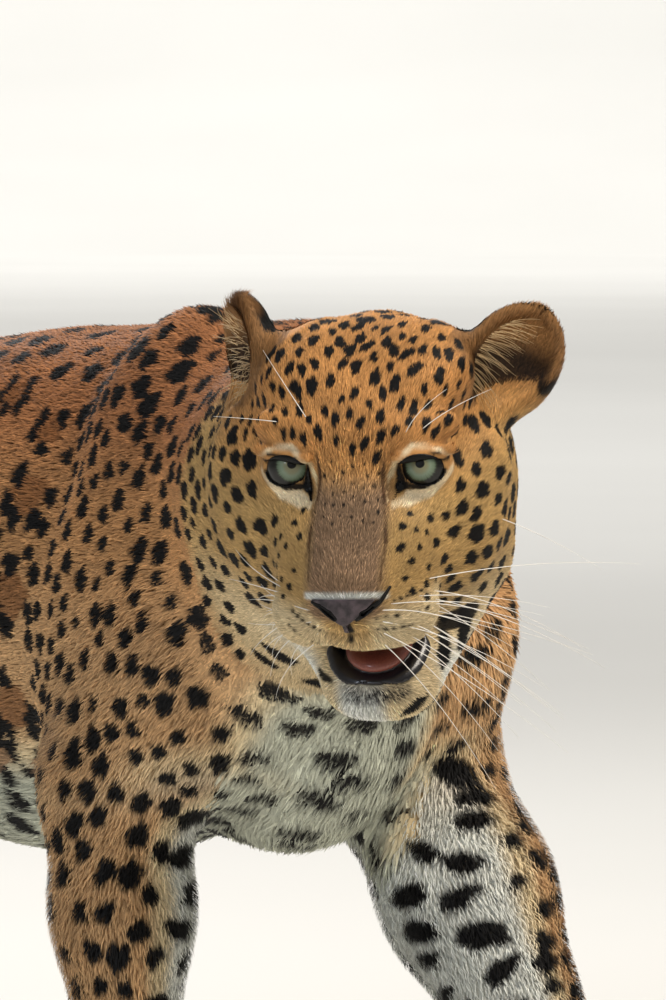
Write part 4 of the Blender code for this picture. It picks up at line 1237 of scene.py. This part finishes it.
def eye_material():
    """Glass eye: round pupil, pale grey-green iris streaked outwards, dark rim, clear glossy front."""
    made, tree, shader = surface_of("glass eye, grey-green iris", Roughness=0.4, Coat_Weight=0.3,
                                    Coat_Roughness=0.02, Specular_IOR_Level=0.2)
    gaze = add(tree, "ShaderNodeUVMap", uv_map="gaze")
    angle = add(tree, "ShaderNodeVectorMath", None, {0: gaze.outputs[0]}, operation="LENGTH")
    way = add(tree, "ShaderNodeVectorMath", None, {0: gaze.outputs[0]}, operation="NORMALIZE")
    streaks = add(tree, "ShaderNodeTexNoise", {"Scale": 14.0, "Detail": 4.0}, {"Vector": way.outputs[0]})
    level = add(tree, "ShaderNodeMapRange",
                {"From Min": 0.3, "From Max": 0.7, "To Min": -0.05, "To Max": 0.05},
                {"Value": streaks.outputs[0]})
    shifted = add(tree, "ShaderNodeMath", None, {0: angle.outputs["Value"], 1: level.outputs[0]},
                  operation="ADD")
    rings = add(tree, "ShaderNodeValToRGB", None, {"Fac": shifted.outputs[0]})
    stops = ((0.0, "77745a"), (0.26, "77765a"), (0.40, "71806c"), (0.56, "5d6c57"), (0.66, "20241c"),
             (0.74, "0b0a08"))
    ramp = rings.color_ramp
    for place, text in stops[1:-1]:
        ramp.elements.new(place)
    for element, (place, text) in zip(sorted(ramp.elements, key=lambda e: e.position), stops):
        element.position = place
        element.color = colour(text)
    # the shadow that the upper lid lays over the iris
    split = add(tree, "ShaderNodeSeparateXYZ", None, {0: gaze.outputs[0]})
    lid = add(tree, "ShaderNodeMapRange",
              {"From Min": 0.22, "From Max": 0.52, "To Min": 1.0, "To Max": 0.32},
              {"Value": split.outputs[1]})
    shaded = add(tree, "ShaderNodeVectorMath", None, {0: rings.outputs[0], "Scale": lid.outputs[0]},
                 operation="SCALE")
    centred = add(tree, "ShaderNodeVectorMath", {1: (0.0, 0.07, 0.0)}, {0: gaze.outputs[0]},
                  operation="DISTANCE")
    pupil = add(tree, "ShaderNodeMapRange", {"From Min": 0.165, "From Max": 0.19},
                {"Value": centred.outputs["Value"]})
    mixed = add(tree, "ShaderNodeMix", {6: colour("040404")}, {0: pupil.outputs[0], 7: shaded.outputs[0]},
                data_type="RGBA")
    tree.links.new(mixed.outputs[2], shader.inputs["Base Color"])
    return made


def whisker_material():
    """Whiskers: stiff, glossy, off-white, a little darker in places along their length."""
    made, tree, shader = surface_of("whisker, off-white and stiff", Roughness=0.35, IOR=1.5,
                                    Subsurface_Weight=0.0)
    place = add(tree, "ShaderNodeTexCoord")
    cloud = add(tree, "ShaderNodeTexNoise", {"Scale": 60.0}, {"Vector": place.outputs["Object"]})
    ramp = add(tree, "ShaderNodeValToRGB", None, {"Fac": cloud.outputs[0]})
    ramp.color_ramp.elements[0].color = colour("d9d4c8")
    ramp.color_ramp.elements[1].color = colour("fbf9f4")
    tree.links.new(ramp.outputs[0], shader.inputs["Base Color"])
    return made


def ear_hair_material():
    """Long hair inside the ears: straw-coloured, a little darker in clouds, with a soft gloss."""
    made, tree, shader = surface_of("ear hair, straw-coloured", Roughness=0.55, Specular_IOR_Level=0.3)
    place = add(tree, "ShaderNodeTexCoord")
    cloud = add(tree, "ShaderNodeTexNoise", {"Scale": 120.0}, {"Vector": place.outputs["Object"]})
    ramp = add(tree, "ShaderNodeValToRGB", None, {"Fac": cloud.outputs[0]})
    ramp.color_ramp.elements[0].color = colour("a07a4a")
    ramp.color_ramp.elements[1].color = colour("d9c296")
    tree.links.new(ramp.outputs[0], shader.inputs["Base Color"])
    return made


def floor_material():
    """Matt studio floor, pale warm grey with a barely visible cloud."""
    made, tree, shader = surface_of("studio floor, matt pale grey", Roughness=0.9)
    place = add(tree, "ShaderNodeTexCoord")
    cloud = add(tree, "ShaderNodeTexNoise", {"Scale": 0.6}, {"Vector": place.outputs["Object"]})
    ramp = add(tree, "ShaderNodeValToRGB", None, {"Fac": cloud.outputs[0]})
    ramp.color_ramp.elements[0].color = colour("e2e0db")
    ramp.color_ramp.elements[1].color = colour("eceae5")
    tree.links.new(ramp.outputs[0], shader.inputs["Base Color"])
    return made


def hair_tree(material_used):
    """A node tree that turns polylines into tapering round hairs."""
    tree = bpy.data.node_groups.new("tapering hairs", "GeometryNodeTree")
    tree.interface.new_socket("Geometry", in_out="INPUT", socket_type="NodeSocketGeometry")
    tree.interface.new_socket("Root radius", in_out="INPUT", socket_type="NodeSocketFloat")
    tree.interface.new_socket("Tip share", in_out="INPUT", socket_type="NodeSocketFloat")
    tree.interface.new_socket("Sides", in_out="INPUT", socket_type="NodeSocketInt")
    tree.interface.new_socket("Geometry", in_out="OUTPUT", socket_type="NodeSocketGeometry")
    given = add(tree, "NodeGroupInput")
    line = add(tree, "GeometryNodeMeshToCurve", None, {"Mesh": given.outputs["Geometry"]})
    along = add(tree, "GeometryNodeSplineParameter")
    thin = add(tree, "ShaderNodeMapRange", {"To Min": 1.0},
               {"Value": along.outputs["Factor"], "To Max": given.outputs["Tip share"]})
    radius = add(tree, "ShaderNodeMath", None, {0: thin.outputs[0], 1: given.outputs["Root radius"]},
                 operation="MULTIPLY")
    sized = add(tree, "GeometryNodeSetCurveRadius", None,
                {"Curve": line.outputs[0], "Radius": radius.outputs[0]})
    ring = add(tree, "GeometryNodeCurvePrimitiveCircle", {"Radius": 1.0},
               {"Resolution": given.outputs["Sides"]})
    tube = add(tree, "GeometryNodeCurveToMesh", {"Fill Caps": True},
               {"Curve": sized.outputs[0], "Profile Curve": ring.outputs[0]})
    if "Scale" in tube.inputs:
        tree.links.new(radius.outputs[0], tube.inputs["Scale"])
    solid = add(tree, "GeometryNodeRealizeInstances", None, {"Geometry": tube.outputs[0]})
    done = add(tree, "GeometryNodeSetMaterial", {"Material": material_used}, {"Geometry": solid.outputs[0]})
    add(tree, "NodeGroupOutput", None, {0: done.outputs[0]})
    return tree


def hairs(name, lines, radius, tip_share, sides, material_used):
    """Tapering hairs along polylines given in the object's own metres."""
    points, edges = [], []
    for line in lines:
        start = len(points)
        points += [tuple(p - CENTRE) for p in line]
        edges += [(start + i, start + i + 1) for i in range(len(line) - 1)]
    data = bpy.data.meshes.new(name)
    data.from_pydata(points, edges, [])
    source = bpy.data.objects.new(name, data)
    bpy.context.scene.collection.objects.link(source)
    group = hair_tree(material_used)
    modifier = source.modifiers.new("hairs", "NODES")
    modifier.node_group = group
    values = {"Root radius": radius, "Tip share": tip_share, "Sides": sides}
    for item in group.interface.items_tree:
        if item.in_out == "INPUT" and item.name in values:
            modifier[item.identifier] = values[item.name]
    depsgraph = bpy.context.evaluated_depsgraph_get()
    made = bpy.data.meshes.new_from_object(source.evaluated_get(depsgraph))
    source.modifiers.clear()
    source.data = made
    made.shade_smooth()
    return source


def from_head(point):
    """A point of the head's frame in the forms' coordinates."""
    return HEAD_AT + HEAD_TURN @ Vector(point)


def arc(root, way, length, droop, count=9):
    """A bending hair: root, first direction, length and how far the tip sinks, in the head's frame."""
    root, way = Vector(root), Vector(way).normalized()
    line = []
    for i in range(count):
        t = i / (count - 1)
        line.append(from_head(root + way * length * t + Vector(droop) * t * t))
    return line


def whisker_lines():
    """Whiskers of the lip pads, brows and cheek; each starts outwards and bends back and down."""
    draw = np.random.default_rng(5)
    lines = []
    for s in SIDES:
        for row in range(4):
            for step in range(6 if s > 0 else 5):
                if draw.random() < 0.12:
                    continue
                root = (s * (0.024 + 0.0052 * step), -0.137 + 0.0070 * step,
                        -0.0265 - 0.0085 * row + 0.0010 * step)
                if s > 0:
                    down = 0.04 - 0.36 * row + draw.normal(0, 0.09)
                    way = (0.90, 0.05 + 0.10 * step + draw.normal(0, 0.10), down)
                    length, bend = draw.uniform(0.08, 0.155), (-0.006, 0.030, -draw.uniform(0.020, 0.055))
                else:
                    down = 0.06 - 0.26 * row + draw.normal(0, 0.08)
                    way = (-0.80, 0.50 + 0.06 * step + draw.normal(0, 0.08), down)
                    length, bend = draw.uniform(0.055, 0.090), (0.012, 0.024, -draw.uniform(0.006, 0.022))
                lines.append(arc(root, way, length, bend, 12))
    for k in range(2):
        root = (0.036 + 0.010 * k, -0.064 + 0.006 * k, 0.066)
        way = (0.40 + 0.25 * k, -0.25, 0.85 - 0.20 * k)
        lines.append(arc(root, way, 0.045 + 0.010 * k, (0.010, 0.022, -0.012), 9))
    lines.append(arc((-0.031, -0.056, 0.075), (-0.50, 0.16, 0.84), 0.050, (-0.002, 0.006, 0.0), 9))
    lines.append(arc((-0.047, -0.052, 0.069), (-0.97, -0.15, 0.22), 0.048, (0, 0.004, -0.004), 9))
    lines.append(arc((0.078, -0.020, -0.016), (0.9, -0.15, -0.25), 0.075, (0, 0.020, -0.026), 10))
    return lines


def ear_lines():
    """Long pale hairs that grow from the inner wall of each ear and sweep across its hollow."""
    draw = np.random.default_rng(8)
    lines = []
    for s in SIDES:
        spin = ear_turn(s)
        turn = Matrix.Rotation(radians(s * EAR_OUT[s]), 3, "Z")
        middle = Vector(EAR[s]) + turn @ Vector((0, -0.021, 0)) + Vector((0, 0, 0.006))
        for _ in range(120 if s < 0 else 75):
            rise = draw.uniform(-0.75, 0.95)
            deep = draw.uniform(0.0, 0.75)
            flat = cos(rise) * cos(deep)
            root = Vector((-s * 0.0285 * flat, 0.0255 * sin(deep), 0.036 * sin(rise) * cos(deep)))
            way = Vector((s * 0.75, -0.42 + draw.normal(0, 0.12),
                          0.55 * rise + 0.15 + draw.normal(0, 0.12)))
            root, way = middle + spin @ root, spin @ way
            lines.append(arc(root, way, draw.uniform(0.012, 0.030),
                             spin @ Vector((s * 0.002, 0.006, -0.006)), 6))
    return lines


def placed(piece, material_used, slot, *nodes):
    """Gives a piece its finish and its body, and hides the solids that it stands for. The slot is not used.
    """
    if not piece.data.materials:
        piece.data.materials.append(material_used)
    else:
        piece.data.materials[0] = material_used
    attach(piece, "root")
    if nodes:
        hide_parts(*nodes)
    return piece


def read_skin(made):
    """The skin's points, triangles, areas and the lie of the coat on it."""
    data = made.data
    data.calc_loop_triangles()
    triangles = np.empty(len(data.loop_triangles) * 3, int)
    data.loop_triangles.foreach_get("vertices", triangles)
    triangles = triangles.reshape(-1, 3)
    area = np.empty(len(triangles))
    data.loop_triangles.foreach_get("area", area)
    normals = np.empty(len(data.vertices) * 3)
    data.vertices.foreach_get("normal", normals)
    points = points_of(made)
    limb, lie = survey(points)
    normals = normals.reshape(-1, 3)
    return {"points": points, "normals": normals, "triangles": triangles, "area": area, "limb": limb,
            "lie": lie}


FLESH = ["head", "lower_jaw", "ear_right", "ear_left", "neck", "chest", "abdomen", "rump"]
FLESH += [f"{name}_{side}" for name in ("upper_foreleg", "forearm", "forepaw", "thigh", "shank", "hindpaw")
          for side in ("right", "left")]
FLESH += [f"tail_{i}" for i in (1, 2, 3, 4)]

skin_object = make_skin()
SKIN = read_skin(skin_object)
MARKINGS = Markings(SKIN["points"], SKIN["normals"], SKIN["limb"], SKIN["lie"])
dark, inner = MARKINGS.read(SKIN["points"])
shade = ground_colour(SKIN["points"], SKIN["normals"], SKIN["limb"])
# The skin takes 0.8 of the coat's colour: painted shade under the hair.
shade = mix(mix(shade, COLOURS["ring"], inner * 0.75) * 0.8, COLOURS["black"], dark)
colour_points(skin_object, "coat_colour", np.clip(shade, 0, 1))
placed(skin_object, fur_material("skin under the coat, coloured as the hair above it", 0.75, 0.02),
       "orange_coat", *FLESH)

coat = fur_material("leopard coat, short flat guard hair", 0.62, 0.01)
middle_limb = SKIN["limb"][SKIN["triangles"][:, 0]]
middle = SKIN["points"][SKIN["triangles"]].mean(1)
left = in_head(middle)[:, 0] > 0
share = 1.0
COATS = (
    ("coat_head_right", (middle_limb == 0) & ~left, 64000, "orange_coat"),
    ("coat_head_left", (middle_limb == 0) & left, 64000, "orange_coat"),
    ("coat_neck", middle_limb == 1, 55000, "orange_coat"),
    ("coat_chest_right", (middle_limb == 2) & (middle[:, 1] < 0.02) & (middle[:, 0] < 0), 50000,
     "orange_coat"),
    ("coat_chest_left", (middle_limb == 2) & (middle[:, 1] < 0.02) & (middle[:, 0] >= 0), 50000,
     "orange_coat"),
    ("coat_loin_right", (middle_limb == 2) & (middle[:, 1] >= 0.02) & (middle[:, 0] < 0), 45000,
     "tan_coat"),
    ("coat_loin_left", (middle_limb == 2) & (middle[:, 1] >= 0.02) & (middle[:, 0] >= 0), 45000,
     "tan_coat"),
    ("coat_foreleg_right", middle_limb == 3, 30000, "tan_coat"),
    ("coat_foreleg_left", middle_limb == 4, 30000, "tan_coat"),
    ("coat_hindleg_right", middle_limb == 5, 20000, "tan_coat"),
    ("coat_hindleg_left", middle_limb == 6, 20000, "tan_coat"),
    ("coat_tail", middle_limb == 7, 14000, "tan_coat"),
)
for seed, (name, where, count, slot) in enumerate(COATS):
    faces = np.flatnonzero(where)
    placed(make_coat(name, faces, int(count * share), SKIN, 100 + seed), coat, slot)

eye_look = eye_material()
rim_look = wet_material("lid rim, moist black skin", "020202", "080707", 0.45, 300.0, 0.0002, 0.12)
lip_look = wet_material("lips and mouth, moist black skin", "060507", "17141a", 0.30, 120.0, 0.0004)
tongue_look = wet_material("tongue, moist and rough with papillae", "5c2c23", "8a4a3b", 0.42, 900.0, 0.0005)
for s in SIDES:
    side = SIDE_NAME[s]
    placed(eyeball("glass_eye_" + side, s), eye_look, "eye", "eye_" + side)
    rim = field_piece("lid_rim_" + side, lid_rim(s), (s * EYE[0], EYE[1] - 0.010, EYE[2]), 0.030, 0.0009)
    placed(rim, rim_look, "nose_leather")
placed(field_piece("lips", lips, MOUTH, 0.075, 0.0013), lip_look, "nose_leather")
placed(field_piece("nose_leather", nose_leather, (0, -0.142, -0.032), 0.034, 0.0008), leather_material(),
       "nose_leather", "nose_pad")
# The nostrils are lined with black: painted shade inside the openings.
placed(field_piece("nostril_shade_lining", nostril_shade_lining, (0.004, -0.140, -0.022), 0.034, 0.0007), rim_look,
       "nose_leather")
placed(field_piece("tongue_form", tongue, MOUTH, 0.05, 0.0010), tongue_look, "tongue", "tongue")
white = whisker_material()
placed(hairs("whiskers", whisker_lines(), 0.00036, 0.25, 6, white), white, "cream_coat")
straw = ear_hair_material()
placed(hairs("ear_hair", ear_lines(), 0.00020, 0.3, 4, straw), straw, "tan_coat")

# Floor that curves up all round, far outside the views
FLOOR_SIDES = 64
rows = [(0.0, 0.0), (4.0, 0.0), (30.0, 0.0), (34.0, 0.8), (37.0, 3.0), (38.5, 6.5), (38.5, 14.0)]
turns = [2 * pi * k / FLOOR_SIDES for k in range(FLOOR_SIDES)]
corners = [(r * cos(turn), r * sin(turn), z) for r, z in rows[1:] for turn in turns]
corners += [(0, 0, 0)]
sides = []
for r in range(len(rows) - 2):
    for k in range(FLOOR_SIDES):
        low = r * FLOOR_SIDES + k
        beside_low = r * FLOOR_SIDES + (k + 1) % FLOOR_SIDES
        sides.append((low, beside_low, beside_low + FLOOR_SIDES, low + FLOOR_SIDES))
sides += [(len(corners) - 1, (k + 1) % FLOOR_SIDES, k) for k in range(FLOOR_SIDES)]
floor_data = bpy.data.meshes.new("floor")
floor_data.from_pydata(corners, [], [face[::-1] for face in sides])
floor_data.shade_smooth()
floor = bpy.data.objects.new("floor", floor_data)
floor_data.materials.append(floor_material())
bpy.context.scene.collection.objects.link(floor)


def lamp(name, place, size, power, shade, target=(0, -0.4, 0.5)):
    """A square soft light aimed at the chest, or at another target."""
    data = bpy.data.lights.new(name, "AREA")
    data.energy = power
    data.size = size
    data.color = linear(shade)
    made = bpy.data.objects.new(name, data)
    made.location = place
    made.rotation_euler = (Vector(target) - Vector(place)).to_track_quat("-Z", "Y").to_euler()
    bpy.context.scene.collection.objects.link(made)


lamp("key", (0.9, -3.6, 4.6), 1.8, 235, "fff4e6")
lamp("fill", (-4.4, -2.4, 2.6), 1.2, 55, "e6f0ff")
lamp("rim", (0.8, 3.4, 3.6), 2.0, 110, "ffffff")
lamp("backdrop_near", (6.9, 9.8, 9.0), 10.0, 700, "ffffff", (9.2, 13.1, 0))
lamp("backdrop_far", (16.0, 22.9, 12.0), 12.0, 1500, "ffffff", (22.0, 31.4, 1.0))
world = bpy.data.worlds.new("studio")
world.use_nodes = True
world.node_tree.nodes["Background"].inputs[0].default_value = colour("f4f4f2")
world.node_tree.nodes["Background"].inputs[1].default_value = 0.38
bpy.context.scene.world = world
bpy.context.scene.view_settings.view_transform = "Standard"

CAMERA_DISTANCE = 6
CAMERA_LENS = 324
right = Vector((0.819, -0.574, 0)).normalized()
aim = Vector((-0.096, -0.552, 0.594)) + right * -0.0247 + Vector((0, 0, -0.0133)) - CENTRE
camera = bpy.data.objects.new("camera", bpy.data.cameras.new("camera"))
camera.data.lens = CAMERA_LENS
camera.data.sensor_width = 36
camera.data.clip_end = 60
camera.location = aim + CAMERA_DISTANCE * Vector((-0.573, -0.818, 0.052)).normalized()
camera.rotation_euler = (aim - camera.location).to_track_quat("-Z", "Y").to_euler()
bpy.context.scene.collection.objects.link(camera)
bpy.context.scene.camera = camera
